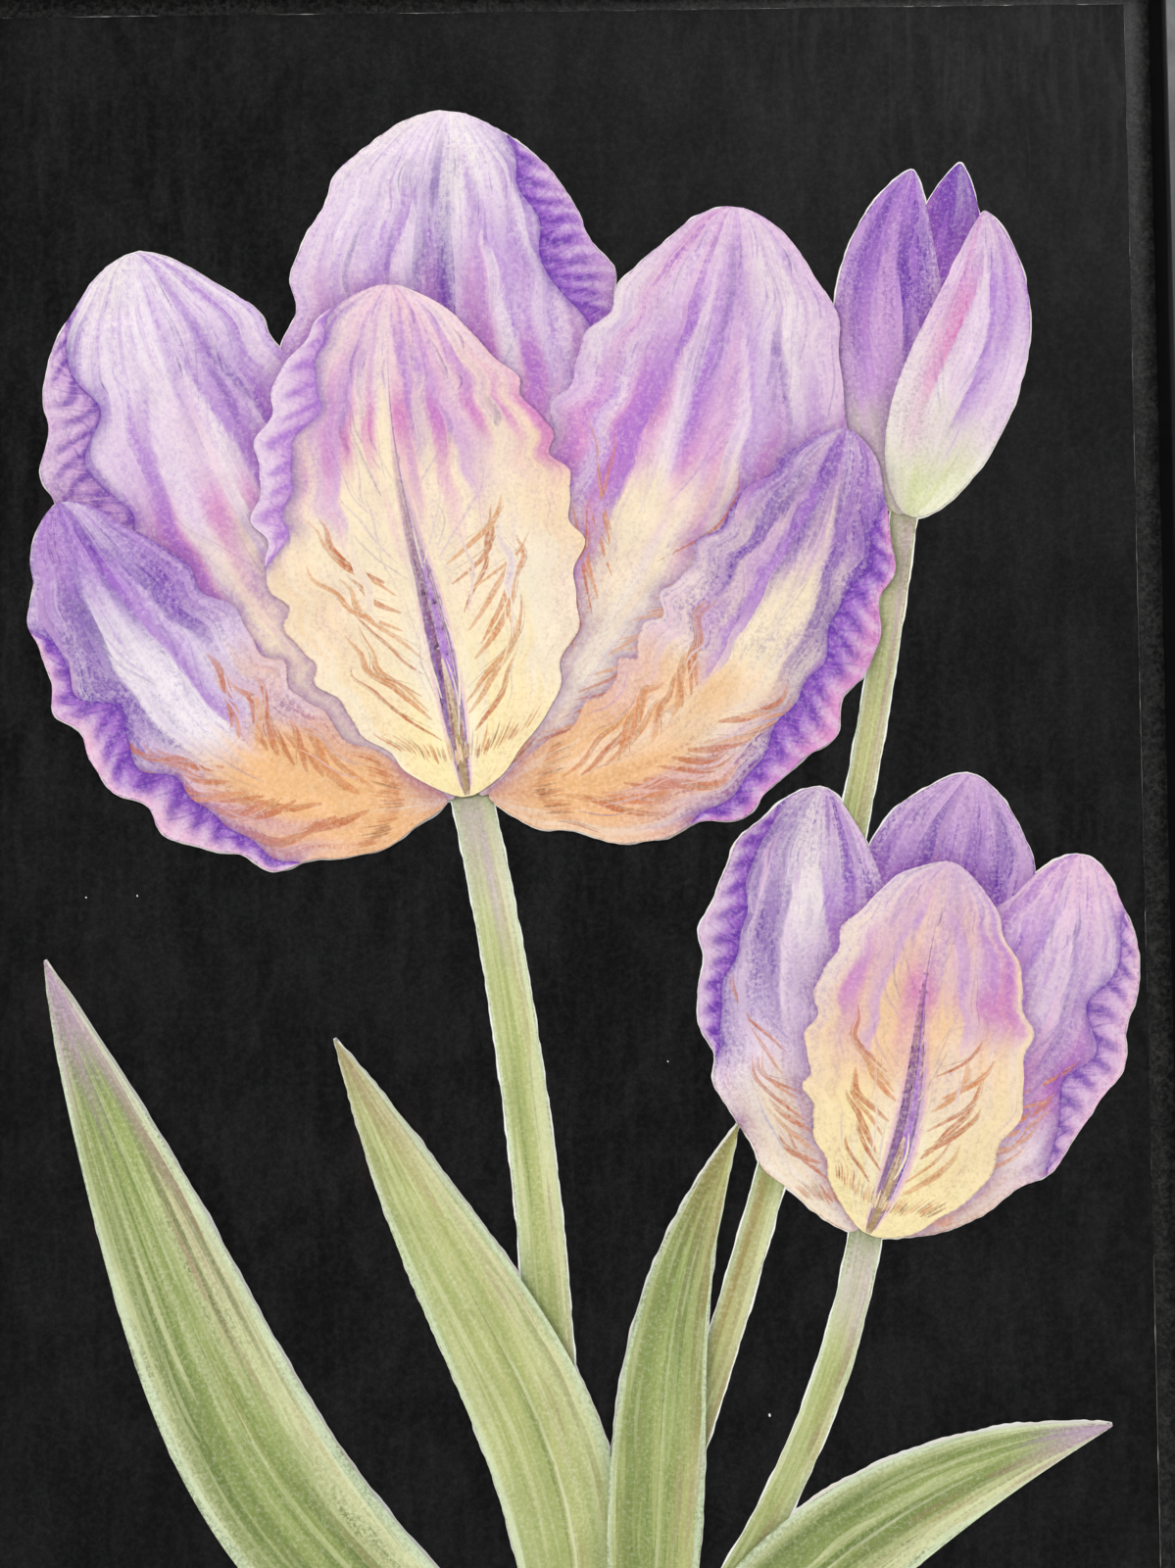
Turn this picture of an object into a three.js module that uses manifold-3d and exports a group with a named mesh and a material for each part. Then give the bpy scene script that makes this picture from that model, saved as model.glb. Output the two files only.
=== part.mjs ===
// A framed flower painting, upright as it hangs on a wall, in millimetres.
// +X is to the right seen from the front, the front faces -Y and +Z is up.
// The origin is where a wall hook bears the hanger's toothed edge, in the plane of the rails' backs.
import * as THREE from 'three';
import { mergeVertices } from 'three/addons/utils/BufferGeometryUtils.js';
import Module from 'manifold-3d';

// ---------------------------------------------------------------------------------------------
// Driving dimensions
// ---------------------------------------------------------------------------------------------

// Painting: an A3 sheet laid on a mount board that shows as a band all round it.
const sheetWidth = 297;
const sheetHeight = 420;
const sheetThickness = 0.5;
const boardMargin = 6.75;
const boardThickness = 1.5;
const mountTape = { length: 44, width: 12, thickness: 0.25, inset: 30 };
const paintThickness = 0.25;
const groundInset = 0.35;
const reserveGap = 0.45;
const washGap = 0.3;
const smallestWash = 5;

// Frame moulding: an L section, with the lip in front of the board and the rebate behind the lip.
const railFace = 18;
const railDepth = 22;
const lipDepth = 8;
const rebateWidth = 6;
const rebateClearance = 1;
const frontEdgeRadius = 1.25;
const backEdgeRadius = 0.75;
const mitreGap = 0.2;

// Back: board, metal points, corner nails, hanger and wall pads.
const backingThickness = 3;
const point = { width: 12, length: 15, thickness: 0.5, inRail: 6, slotGap: 0.3, tip: 4 };
const cornerNail = { leg: 6, thickness: 0.8, height: 8, sunk: 0.25, slotGap: 0.3 };
const hanger = { length: 46, height: 8, thickness: 1, teeth: 11, toothDepth: 1.5, screwSpacing: 36 };
const screw = { head: 5.5, headHeight: 1.25, shank: 2.4, length: 11, hole: 3, sides: 16 };
const wallPad = { diameter: 10, thickness: 3, inset: 22, sides: 24 };
const hangerBelowTop = 13;

// Sizes that follow from these.
const sightWidth = sheetWidth + 2 * boardMargin;
const sightHeight = sheetHeight + 2 * boardMargin;
const frameHeight = sightHeight + 2 * railFace;
const centreZ = hangerBelowTop - frameHeight / 2;
const bottomZ = hangerBelowTop - frameHeight;
const boardWidth = sightWidth + 2 * (rebateWidth - rebateClearance);
const boardHeight = sightHeight + 2 * (rebateWidth - rebateClearance);
const backFaceWidth = railFace - rebateWidth;

// Depths along Y, from the front face at the back of the lip to the back of the rails at 0.
const boardFrontY = -railDepth + lipDepth;
const boardBackY = boardFrontY + boardThickness;
const backingBackY = boardBackY + backingThickness;
const sheetBackY = boardFrontY - mountTape.thickness;
const sheetFrontY = sheetBackY - sheetThickness;

// ---------------------------------------------------------------------------------------------
// Materials
// ---------------------------------------------------------------------------------------------

function finish(colour, roughness, metalness = 0) {
  return new THREE.MeshStandardMaterial({ color: colour, roughness, metalness });
}

const finishes = {
  lacquer: finish(0x141415, 0.34),
  mount: finish(0x1c1c1e, 0.92),
  paper: finish(0xf1ede4, 0.9),
  tape: finish(0xe9e4d8, 0.8),
  ground: finish(0x212224, 0.82),
  hardboard: finish(0x7a5638, 0.75),
  steel: finish(0xb4b6b8, 0.35, 1),
  brass: finish(0xb9984f, 0.35, 1),
  felt: finish(0x2a2a2b, 0.97),
};

const washes = {
  lilac: finish(0xd8c3dd, 0.88),
  deepLilac: finish(0xc3a2d3, 0.88),
  violet: finish(0x9f7cc2, 0.88),
  rose: finish(0xdcb0d2, 0.88),
  cream: finish(0xefdcb8, 0.88),
  apricot: finish(0xe8c096, 0.88),
  stem: finish(0xb9bf86, 0.88),
  leaf: finish(0x93a864, 0.88),
  shadedLeaf: finish(0x7f965c, 0.88),
};

// ---------------------------------------------------------------------------------------------
// Solids and meshes
// ---------------------------------------------------------------------------------------------

const wasm = await Module();
wasm.setup();

const artwork = new THREE.Group();

function addMesh(name, geometry, material) {
  const mesh = new THREE.Mesh(geometry, material);
  mesh.name = name;
  artwork.add(mesh);
  return mesh;
}

function toSolid(geometry) {
  const bare = geometry.clone();
  bare.deleteAttribute('normal');
  bare.deleteAttribute('uv');
  const merged = mergeVertices(bare, 1e-4);
  const vertProperties = new Float32Array(merged.attributes.position.array);
  const triVerts = new Uint32Array(merged.index.array);
  return new wasm.Manifold(new wasm.Mesh({ numProp: 3, vertProperties, triVerts }));
}

function toGeometry(solid) {
  const { vertProperties, triVerts } = solid.getMesh();
  const geometry = new THREE.BufferGeometry();
  geometry.setAttribute('position', new THREE.BufferAttribute(vertProperties, 3));
  geometry.setIndex(new THREE.BufferAttribute(triVerts, 1));
  geometry.computeVertexNormals();
  return geometry;
}

function boxAt(width, depth, height, x, y, z) {
  return new THREE.BoxGeometry(width, depth, height).translate(x, y, z);
}

// Stands a shape drawn in XY up in XZ, with what was extruded along +Z now facing -Y.
const standUp = new THREE.Matrix4().set(1, 0, 0, 0, 0, 0, -1, 0, 0, 1, 0, 0, 0, 0, 0, 1);

// ---------------------------------------------------------------------------------------------
// Frame rails
// ---------------------------------------------------------------------------------------------

// The moulding's section: X is the distance outwards from the sight edge, Y the depth.
function railSection() {
  const front = -railDepth;
  const section = new THREE.Shape();
  section.moveTo(frontEdgeRadius, front);
  section.lineTo(railFace - frontEdgeRadius, front);
  section.absarc(railFace - frontEdgeRadius, front + frontEdgeRadius, frontEdgeRadius, -Math.PI / 2, 0);
  section.lineTo(railFace, -backEdgeRadius);
  section.absarc(railFace - backEdgeRadius, -backEdgeRadius, backEdgeRadius, 0, Math.PI / 2);
  section.lineTo(rebateWidth, 0);
  section.lineTo(rebateWidth, boardFrontY);
  section.lineTo(0, boardFrontY);
  section.lineTo(0, front + frontEdgeRadius);
  section.absarc(frontEdgeRadius, front + frontEdgeRadius, frontEdgeRadius, Math.PI, 1.5 * Math.PI);
  return section;
}

// A mitred rail along X whose sight edge is at Z = 0 and whose outer side is at Z = railFace.
function railGeometry(sightLength) {
  const settings = { depth: 1, bevelEnabled: false, curveSegments: 4 };
  const geometry = new THREE.ExtrudeGeometry(railSection(), settings);
  const place = geometry.attributes.position;
  for (let i = 0; i < place.count; i += 1) {
    const outwards = place.getX(i);
    const depth = place.getY(i);
    const side = place.getZ(i) > 0.5 ? -1 : 1;
    place.setXYZ(i, side * (sightLength / 2 + outwards - mitreGap), depth, outwards);
  }
  return geometry;
}

// Each rail is made along X above the sight edge and turned about Y to its own side.
const rails = [
  { name: 'top', quarterTurns: 0, sightLength: sightWidth, reach: sightHeight / 2 },
  { name: 'right', quarterTurns: 1, sightLength: sightHeight, reach: sightWidth / 2 },
  { name: 'bottom', quarterTurns: 2, sightLength: sightWidth, reach: sightHeight / 2 },
  { name: 'left', quarterTurns: 3, sightLength: sightHeight, reach: sightWidth / 2 },
];

// Exact quarter turns about Y, from up towards +X, round the middle of the sight opening.
function railMatrix({ quarterTurns, reach }) {
  const cosine = [1, 0, -1, 0][quarterTurns];
  const sine = [0, 1, 0, -1][quarterTurns];
  return new THREE.Matrix4().set(
    cosine, 0, sine, sine * reach,
    0, 1, 0, 0,
    -sine, 0, cosine, cosine * reach + centreZ,
    0, 0, 0, 1,
  );
}

// ---------------------------------------------------------------------------------------------
// Metal points that hold the backing board
// ---------------------------------------------------------------------------------------------

// A thin tongue with a pointed inner end, seen from the back: it lies in the rail's own X and Z.
function pointGeometry(grow) {
  const half = point.width / 2 + grow;
  const outer = rebateWidth + point.inRail + grow;
  const inner = outer - point.length - 2 * grow;
  const tongue = new THREE.Shape();
  tongue.moveTo(-half, outer);
  tongue.lineTo(-half, inner + point.tip);
  tongue.lineTo(0, inner);
  tongue.lineTo(half, inner + point.tip);
  tongue.lineTo(half, outer);
  tongue.closePath();
  const depth = point.thickness + 2 * grow;
  const geometry = new THREE.ExtrudeGeometry(tongue, { depth, bevelEnabled: false });
  return geometry.applyMatrix4(standUp).translate(0, backingBackY + point.thickness + grow, 0);
}

const pointPlaces = [-0.27, 0.27];

// ---------------------------------------------------------------------------------------------
// Corner nails, pressed into the backs of two rails across their mitre
// ---------------------------------------------------------------------------------------------

// A chevron in XZ whose legs run along both rails, drawn round the middle of the back face at a corner.
function cornerNailGeometry(signX, signZ, grow) {
  const middle = railFace - backFaceWidth / 2;
  const thick = cornerNail.thickness / 2 + grow;
  const leg = cornerNail.leg + grow;
  const chevron = new THREE.Shape();
  chevron.moveTo(thick, thick);
  chevron.lineTo(-leg, thick);
  chevron.lineTo(-leg, -thick);
  chevron.lineTo(-thick, -thick);
  chevron.lineTo(-thick, -leg);
  chevron.lineTo(thick, -leg);
  chevron.closePath();
  const backY = grow > 0 ? 1 : -cornerNail.sunk;
  const depth = cornerNail.height + cornerNail.sunk + backY + grow;
  const geometry = new THREE.ExtrudeGeometry(chevron, { depth, bevelEnabled: false });
  const quarterTurns = { '1,1': 0, '-1,1': 1, '-1,-1': 2, '1,-1': 3 }[`${signX},${signZ}`];
  geometry.rotateZ(quarterTurns * Math.PI / 2);
  geometry.applyMatrix4(standUp);
  const cornerX = signX * (sightWidth / 2 + middle);
  const cornerZ = centreZ + signZ * (sightHeight / 2 + middle);
  return geometry.translate(cornerX, backY, cornerZ);
}

const corners = [
  { name: 'top_right', signX: 1, signZ: 1 },
  { name: 'top_left', signX: -1, signZ: 1 },
  { name: 'bottom_left', signX: -1, signZ: -1 },
  { name: 'bottom_right', signX: 1, signZ: -1 },
];

// ---------------------------------------------------------------------------------------------
// Hanger and screws on the top rail's back
// ---------------------------------------------------------------------------------------------

const screwX = hanger.screwSpacing / 2;
const screwZ = hanger.height / 2 + 0.5;

// A strip with a saw-toothed lower edge, whose middle notch bears on the wall hook at Z = 0.
function hangerGeometry() {
  const half = hanger.length / 2;
  const toothed = hanger.screwSpacing / 2 - screw.head;
  const pitch = 2 * toothed / hanger.teeth;
  const strip = new THREE.Shape();
  strip.moveTo(-half, 0);
  for (let i = 0; i < hanger.teeth; i += 1) {
    const start = -toothed + i * pitch;
    strip.lineTo(start, -hanger.toothDepth);
    strip.lineTo(start + pitch / 2, 0);
  }
  strip.lineTo(toothed, -hanger.toothDepth);
  strip.lineTo(half, 0);
  strip.lineTo(half, hanger.height);
  strip.lineTo(-half, hanger.height);
  strip.closePath();
  for (const side of [-1, 1]) {
    const hole = new THREE.Path();
    hole.absarc(side * screwX, screwZ, screw.hole / 2, 0, 2 * Math.PI, true);
    strip.holes.push(hole);
  }
  const settings = { depth: hanger.thickness, bevelEnabled: false, curveSegments: 8 };
  const geometry = new THREE.ExtrudeGeometry(strip, settings);
  return geometry.applyMatrix4(standUp).translate(0, hanger.thickness, 0);
}

// A round-headed screw that points towards -Y, with the underside of its head at Y = 0.
function screwGeometry() {
  const head = screw.head / 2;
  const shank = screw.shank / 2;
  const profile = [
    new THREE.Vector2(0, -screw.length),
    new THREE.Vector2(shank, -screw.length + 2 * screw.shank),
    new THREE.Vector2(shank, 0),
    new THREE.Vector2(head, 0),
    new THREE.Vector2(head, screw.headHeight * 0.45),
    new THREE.Vector2(head * 0.72, screw.headHeight * 0.9),
    new THREE.Vector2(0, screw.headHeight),
  ];
  return new THREE.LatheGeometry(profile, screw.sides);
}

function pilotHole(x) {
  const depth = screw.length + 1;
  const hole = new THREE.CylinderGeometry(screw.hole / 2, screw.hole / 2, depth + 1, screw.sides);
  return hole.translate(x, 1 - (depth + 1) / 2, screwZ);
}

// ---------------------------------------------------------------------------------------------
// The painted motif: petals, buds, leaves and stems as flat washes in sheet coordinates,
// with X to the right and Y up from the middle of the sheet
// ---------------------------------------------------------------------------------------------

const petalSteps = 34;
const leafSteps = 22;
const stemSteps = 14;

// A point of a curved centre line, at a share of its length, and the unit vector along it there.
function centreLine(form, share) {
  const lean = THREE.MathUtils.degToRad(form.lean);
  const bow = form.bow ?? 0;
  const sway = form.sway ?? 0;
  const up = new THREE.Vector2(Math.sin(lean), Math.cos(lean));
  const aside = new THREE.Vector2(Math.cos(lean), -Math.sin(lean));
  const offset = 4 * bow * share * (1 - share) + sway * Math.sin(2 * Math.PI * share);
  const slope = 4 * bow * (1 - 2 * share) + sway * 2 * Math.PI * Math.cos(2 * Math.PI * share);
  const at = form.base.clone().addScaledVector(up, form.reach * share).addScaledVector(aside, offset);
  const along = up.multiplyScalar(form.reach).addScaledVector(aside, slope).normalize();
  return { at, along };
}

// Half the width of a petal or leaf on one side of its centre line: it swells as a power of the
// distance from either end, and a skewed one is fuller on its right.
function halfWidth(form, share, side) {
  const widest = form.foot / (form.foot + form.crown);
  const swell = (share / widest) ** form.foot * ((1 - share) / (1 - widest)) ** form.crown;
  return form.half * (1 + side * (form.skew ?? 0)) * swell;
}

// The ruffle on one edge of a petal: a wave with a shorter one on it, which die out towards both ends.
function ruffleAt(form, share, side) {
  if (!form.ruffle) return 0;
  const depth = form.ruffle * Math.sqrt(Math.sin(Math.PI * share));
  const waves = side < 0 ? form.waves : form.waves - 1.5;
  const start = side < 0 ? form.phase : form.phase + 2;
  const longWave = Math.sin(2 * Math.PI * waves * share + start);
  const shortWave = Math.sin(2 * Math.PI * 1.7 * waves * share + 2.6 * start);
  return depth * (longWave + 0.45 * shortWave);
}

// A point a given distance in from the left (-1) or right (1) edge of a petal or leaf.
function edgePoint(form, share, side, inset) {
  const { at, along } = centreLine(form, share);
  const out = halfWidth(form, share, side) + ruffleAt(form, share, side) - inset;
  return new THREE.Vector2(at.x + side * along.y * out, at.y - side * along.x * out);
}

// Shares along a petal or leaf, closer set near both ends.
function sharesAlong(steps) {
  return Array.from({ length: steps + 1 }, (_, i) => (1 - Math.cos(Math.PI * i / steps)) / 2);
}

// The outline of a petal or leaf, up its left edge and down its right one.
function bladeOutline(form, steps) {
  const shares = sharesAlong(steps);
  const between = shares.slice(1, -1);
  return [
    centreLine(form, 0).at,
    ...between.map((share) => edgePoint(form, share, -1, 0)),
    centreLine(form, 1).at,
    ...between.reverse().map((share) => edgePoint(form, share, 1, 0)),
  ];
}

// The turned-over rim of a petal: from its edge in to a wavy line that meets the edge at both ends.
function rimOutline(form, rim, steps) {
  const shares = sharesAlong(steps).filter((share) => share > rim.low && share < rim.high);
  const low = shares[0];
  const high = shares[shares.length - 1];
  const inner = shares.slice(1, -1).map((share) => {
    const q = (share - low) / (high - low);
    const wave = 1 + 0.2 * Math.sin(2 * Math.PI * rim.waves * q + rim.phase);
    return edgePoint(form, share, rim.side, rim.width * Math.sin(Math.PI * q) ** 0.75 * wave);
  });
  return [...shares.map((share) => edgePoint(form, share, rim.side, 0)), ...inner.reverse()];
}

// The outline of a stem, level across at every height.
function stemOutline(form) {
  const left = [];
  const right = [];
  for (let i = 0; i <= stemSteps; i += 1) {
    const share = i / stemSteps;
    const { at } = centreLine(form, share);
    const half = THREE.MathUtils.lerp(form.footHalf, form.topHalf, share);
    left.push(new THREE.Vector2(at.x - half, at.y));
    right.push(new THREE.Vector2(at.x + half, at.y));
  }
  return [...left, ...right.reverse()];
}

// Moves each point of an outline outwards, square to its neighbours.
function grown(points, distance) {
  const turn = THREE.ShapeUtils.isClockWise(points) ? -1 : 1;
  return points.map((at, i) => {
    const before = points[(i + points.length - 1) % points.length];
    const after = points[(i + 1) % points.length];
    const along = after.clone().sub(before).normalize();
    return new THREE.Vector2(at.x + turn * along.y * distance, at.y - turn * along.x * distance);
  });
}

// A wash as a flat solid that starts at Z = 0, or as a cutter that reaches past both its faces.
function washSolid(points, isCutter) {
  const depth = isCutter ? 2 : paintThickness;
  const geometry = new THREE.ExtrudeGeometry(new THREE.Shape(points), { depth, bevelEnabled: false });
  return toSolid(geometry.translate(0, 0, isCutter ? -1 : 0));
}

// A flower head turned by its tilt about its base, with its petals listed from the back to the front,
// each followed by its turned-over rim if it has one.
function flowerHead(name, baseX, baseY, tilt, petals) {
  const turn = -THREE.MathUtils.degToRad(tilt);
  const base = new THREE.Vector2(baseX, baseY);
  return petals.flatMap((petal) => {
    const shift = new THREE.Vector2(petal.from ?? 0, 0).rotateAround(new THREE.Vector2(), turn);
    const form = { ...petal, base: base.clone().add(shift), lean: petal.lean + tilt };
    const fullName = `${name}_${petal.name}`;
    const whole = { name: fullName, colour: petal.colour, outline: bladeOutline(form, petalSteps) };
    if (!petal.rim) return [whole];
    const outline = rimOutline(form, petal.rim, petalSteps);
    return [whole, { name: `${fullName}_rim`, colour: 'violet', outline }];
  });
}

function stem(name, baseX, lean, reach, bow, footHalf, topHalf) {
  const form = { base: new THREE.Vector2(baseX, stemFootY), lean, reach, bow, footHalf, topHalf };
  return { name, colour: 'stem', outline: stemOutline(form) };
}

function leaf(name, colour, baseX, form) {
  const whole = { ...form, base: new THREE.Vector2(baseX, leafFootY), foot: 0.5, crown: 0.92 };
  return { name, colour, outline: bladeOutline(whole, leafSteps) };
}

// Stems and leaves start below the sheet's lower edge, which cuts them off.
const stemFootY = -sheetHeight / 2 - 2;
const leafFootY = -sheetHeight / 2 - 15;

const openTulip = flowerHead('open_tulip', -24, 6, -5, [
  { name: 'back_petal', colour: 'lilac', lean: 4, reach: 178, half: 44, skew: 0.06, sway: 3,
    foot: 0.9, crown: 0.58, ruffle: 1.5, waves: 8, phase: 0,
    rim: { side: 1, low: 0.6, high: 0.97, width: 15, waves: 2.5, phase: 1 } },
  { name: 'left_petal', colour: 'deepLilac', lean: -25, reach: 164, half: 38, skew: -0.1, bow: -12,
    foot: 0.9, crown: 0.62, ruffle: 1.5, waves: 7, phase: 1, from: -3,
    rim: { side: -1, low: 0.4, high: 0.93, width: 15, waves: 3, phase: 0 } },
  { name: 'right_petal', colour: 'rose', lean: 29, reach: 166, half: 37, skew: 0.08, bow: 13,
    foot: 0.9, crown: 0.6, ruffle: 1.5, waves: 8, phase: 2, from: 3 },
  { name: 'left_fall', colour: 'lilac', lean: -47, reach: 126, half: 26, bow: -24, sway: -3,
    foot: 0.75, crown: 0.62, ruffle: 1.5, waves: 7, phase: 3, from: -5,
    rim: { side: -1, low: 0.22, high: 0.82, width: 11, waves: 3, phase: 2 } },
  { name: 'right_fall', colour: 'lilac', lean: 50, reach: 132, half: 27, bow: 25, sway: 3,
    foot: 0.75, crown: 0.62, ruffle: 1.5, waves: 8, phase: 4, from: 5,
    rim: { side: 1, low: 0.28, high: 0.9, width: 12, waves: 3.5, phase: 0 } },
  { name: 'front_petal', colour: 'cream', lean: -3, reach: 134, half: 40, skew: 0.05, bow: -4, sway: 2,
    foot: 0.7, crown: 0.62, ruffle: 1.5, waves: 9, phase: 5,
    rim: { side: -1, low: 0.52, high: 0.95, width: 11, waves: 2, phase: 0 } },
]);

const halfOpenTulip = flowerHead('half_open_tulip', 76, -106, 12, [
  { name: 'back_petal', colour: 'violet', lean: 2, reach: 120, half: 26,
    foot: 0.9, crown: 0.62, ruffle: 1, waves: 6, phase: 0 },
  { name: 'left_petal', colour: 'deepLilac', lean: -15, reach: 113, half: 25, skew: -0.06, bow: -9,
    foot: 0.8, crown: 0.64, ruffle: 1, waves: 6, phase: 1, from: -3,
    rim: { side: -1, low: 0.42, high: 0.94, width: 9, waves: 2.5, phase: 0 } },
  { name: 'right_petal', colour: 'deepLilac', lean: 17, reach: 110, half: 24, bow: 10,
    foot: 0.8, crown: 0.62, ruffle: 1, waves: 6, phase: 2, from: 3,
    rim: { side: 1, low: 0.33, high: 0.9, width: 10, waves: 3, phase: 2 } },
  { name: 'front_petal', colour: 'apricot', lean: 2, reach: 97, half: 28, bow: 2, sway: 2,
    foot: 0.62, crown: 0.64, ruffle: 1.1, waves: 7, phase: 5 },
]);

const bud = flowerHead('bud', 89, 77, 8, [
  { name: 'back_petal', colour: 'violet', lean: 2, reach: 93, half: 12, foot: 0.8, crown: 0.75 },
  { name: 'left_petal', colour: 'deepLilac', lean: -5, reach: 90, half: 15, bow: -4, sway: 1.5,
    foot: 0.66, crown: 0.75, from: -1 },
  { name: 'right_petal', colour: 'rose', lean: 7, reach: 82, half: 15, bow: 5, sway: -1.5,
    foot: 0.58, crown: 0.75, from: 1 },
]);

// Every wash in the order it is painted: each is cut back by those after it.
const motif = [
  stem('bud_stem', 10, 15.2, 302, 9, 4.6, 3.4),
  stem('half_open_tulip_stem', 26, 24.6, 121, 8, 5, 4.2),
  stem('open_tulip_stem', -4, -5.2, 225, 7, 6.4, 5.2),
  ...bud,
  ...halfOpenTulip,
  ...openTulip,
  leaf('left_leaf', 'leaf', -8, { lean: -33, reach: 228, half: 19, bow: -22, sway: -5 }),
  leaf('right_leaf', 'shadedLeaf', 28, { lean: 57, reach: 130, half: 15, bow: -12 }),
  leaf('tall_leaf', 'stem', 0, { lean: -19, reach: 180, half: 15, bow: 14, sway: 4 }),
  leaf('short_leaf', 'leaf', 18, { lean: 10, reach: 150, half: 12, bow: -8, sway: 2 }),
];

// ---------------------------------------------------------------------------------------------
// Assembly
// ---------------------------------------------------------------------------------------------

function addRails() {
  const nailCutters = corners.map(({ signX, signZ }) => (
    toSolid(cornerNailGeometry(signX, signZ, cornerNail.slotGap))
  ));
  for (const rail of rails) {
    const matrix = railMatrix(rail);
    let solid = toSolid(railGeometry(rail.sightLength));
    pointPlaces.forEach((place, i) => {
      const x = place * rail.sightLength;
      solid = solid.subtract(toSolid(pointGeometry(point.slotGap).translate(x, 0, 0)));
      const tongue = pointGeometry(0).translate(x, 0, 0).applyMatrix4(matrix);
      addMesh(`backing_point_${rail.name}_${i + 1}`, tongue, finishes.steel);
    });
    solid = toSolid(toGeometry(solid).applyMatrix4(matrix));
    for (const cutter of nailCutters) solid = solid.subtract(cutter);
    if (rail.name === 'top') {
      for (const side of [-1, 1]) solid = solid.subtract(toSolid(pilotHole(side * screwX)));
    }
    addMesh(`frame_rail_${rail.name}`, toGeometry(solid), finishes.lacquer);
  }
}

function addCornerNails() {
  for (const { name, signX, signZ } of corners) {
    addMesh(`corner_nail_${name}`, cornerNailGeometry(signX, signZ, 0), finishes.steel);
  }
}

function addBoardsAndSheet() {
  const boardY = (boardFrontY + boardBackY) / 2;
  const backingY = (boardBackY + backingBackY) / 2;
  const sheetY = (sheetBackY + sheetFrontY) / 2;
  const tapeY = (boardFrontY + sheetBackY) / 2;
  const board = boxAt(boardWidth, boardThickness, boardHeight, 0, boardY, centreZ);
  const backing = boxAt(boardWidth, backingThickness, boardHeight, 0, backingY, centreZ);
  const sheet = boxAt(sheetWidth, sheetThickness, sheetHeight, 0, sheetY, centreZ);
  addMesh('mount_board', board, finishes.mount);
  addMesh('backing_board', backing, finishes.hardboard);
  addMesh('paper_sheet', sheet, finishes.paper);
  for (const { name, signX, signZ } of corners) {
    const x = signX * (sheetWidth / 2 - mountTape.inset);
    const z = centreZ + signZ * (sheetHeight / 2 - mountTape.inset);
    const strip = boxAt(mountTape.length, mountTape.thickness, mountTape.width, x, tapeY, z);
    addMesh(`mount_tape_${name}`, strip, finishes.tape);
  }
}

function placePaint(name, solid, material) {
  const geometry = toGeometry(solid).applyMatrix4(standUp);
  geometry.computeVertexNormals();
  const mesh = addMesh(name, geometry, material);
  mesh.position.set(0, sheetFrontY, centreZ);
}

// Bodies of a cut wash, the largest first, without scraps too small to paint.
function bodiesOf(solid) {
  const bodies = solid.decompose().filter((body) => body.volume() > smallestWash * paintThickness);
  return bodies.sort((a, b) => b.volume() - a.volume());
}

function addPaint() {
  const paintedWidth = sheetWidth - 2 * groundInset;
  const paintedHeight = sheetHeight - 2 * groundInset;
  const plate = new THREE.BoxGeometry(paintedWidth, paintedHeight, paintThickness);
  const field = toSolid(plate.translate(0, 0, paintThickness / 2));
  let later = null;
  for (const wash of [...motif].reverse()) {
    let solid = washSolid(wash.outline, false).intersect(field);
    if (later) solid = solid.subtract(later);
    const cutter = washSolid(grown(wash.outline, washGap), true);
    later = later ? later.add(cutter) : cutter;
    bodiesOf(solid).forEach((body, i) => {
      placePaint(i ? `${wash.name}_${i + 1}` : wash.name, body, washes[wash.colour]);
    });
  }
  let ground = field;
  for (const wash of motif) ground = ground.subtract(washSolid(grown(wash.outline, reserveGap), true));
  bodiesOf(ground).forEach((body, i) => {
    placePaint(i ? `black_ground_${i + 1}` : 'black_ground', body, finishes.ground);
  });
}

function addHanger() {
  addMesh('hanger', hangerGeometry(), finishes.brass);
  [-1, 1].forEach((side, i) => {
    const mesh = addMesh(`hanger_screw_${i + 1}`, screwGeometry(), finishes.steel);
    mesh.position.set(side * screwX, hanger.thickness, screwZ);
  });
}

function addWallPads() {
  for (const [name, side] of [['left', -1], ['right', 1]]) {
    const radius = wallPad.diameter / 2;
    const x = side * (sightWidth / 2 + railFace - wallPad.inset);
    const z = bottomZ + backFaceWidth / 2;
    const pad = new THREE.CylinderGeometry(radius, radius, wallPad.thickness, wallPad.sides);
    addMesh(`wall_pad_${name}`, pad.translate(x, wallPad.thickness / 2, z), finishes.felt);
  }
}

addRails();
addCornerNails();
addBoardsAndSheet();
addPaint();
addHanger();
addWallPads();

export default artwork;
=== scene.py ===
"""A framed flower painting: watercolour and coloured pencil on a black-painted sheet.

The sheet lies on a black mount board in a slim black frame. Everything is in metres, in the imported
model's frame: +X right seen from the front, the painting faces -Y and +Z is up. Places on the sheet
are in millimetres from its middle, x to the right and y up, as the motif was laid out. Places on a
petal, leaf or stem are shares: t from its foot to its tip, and u from -1 at its left edge to 1.
"""

import math
from dataclasses import dataclass

import bpy
import numpy as np
from mathutils import Matrix, Vector
from mathutils.kdtree import KDTree


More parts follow.
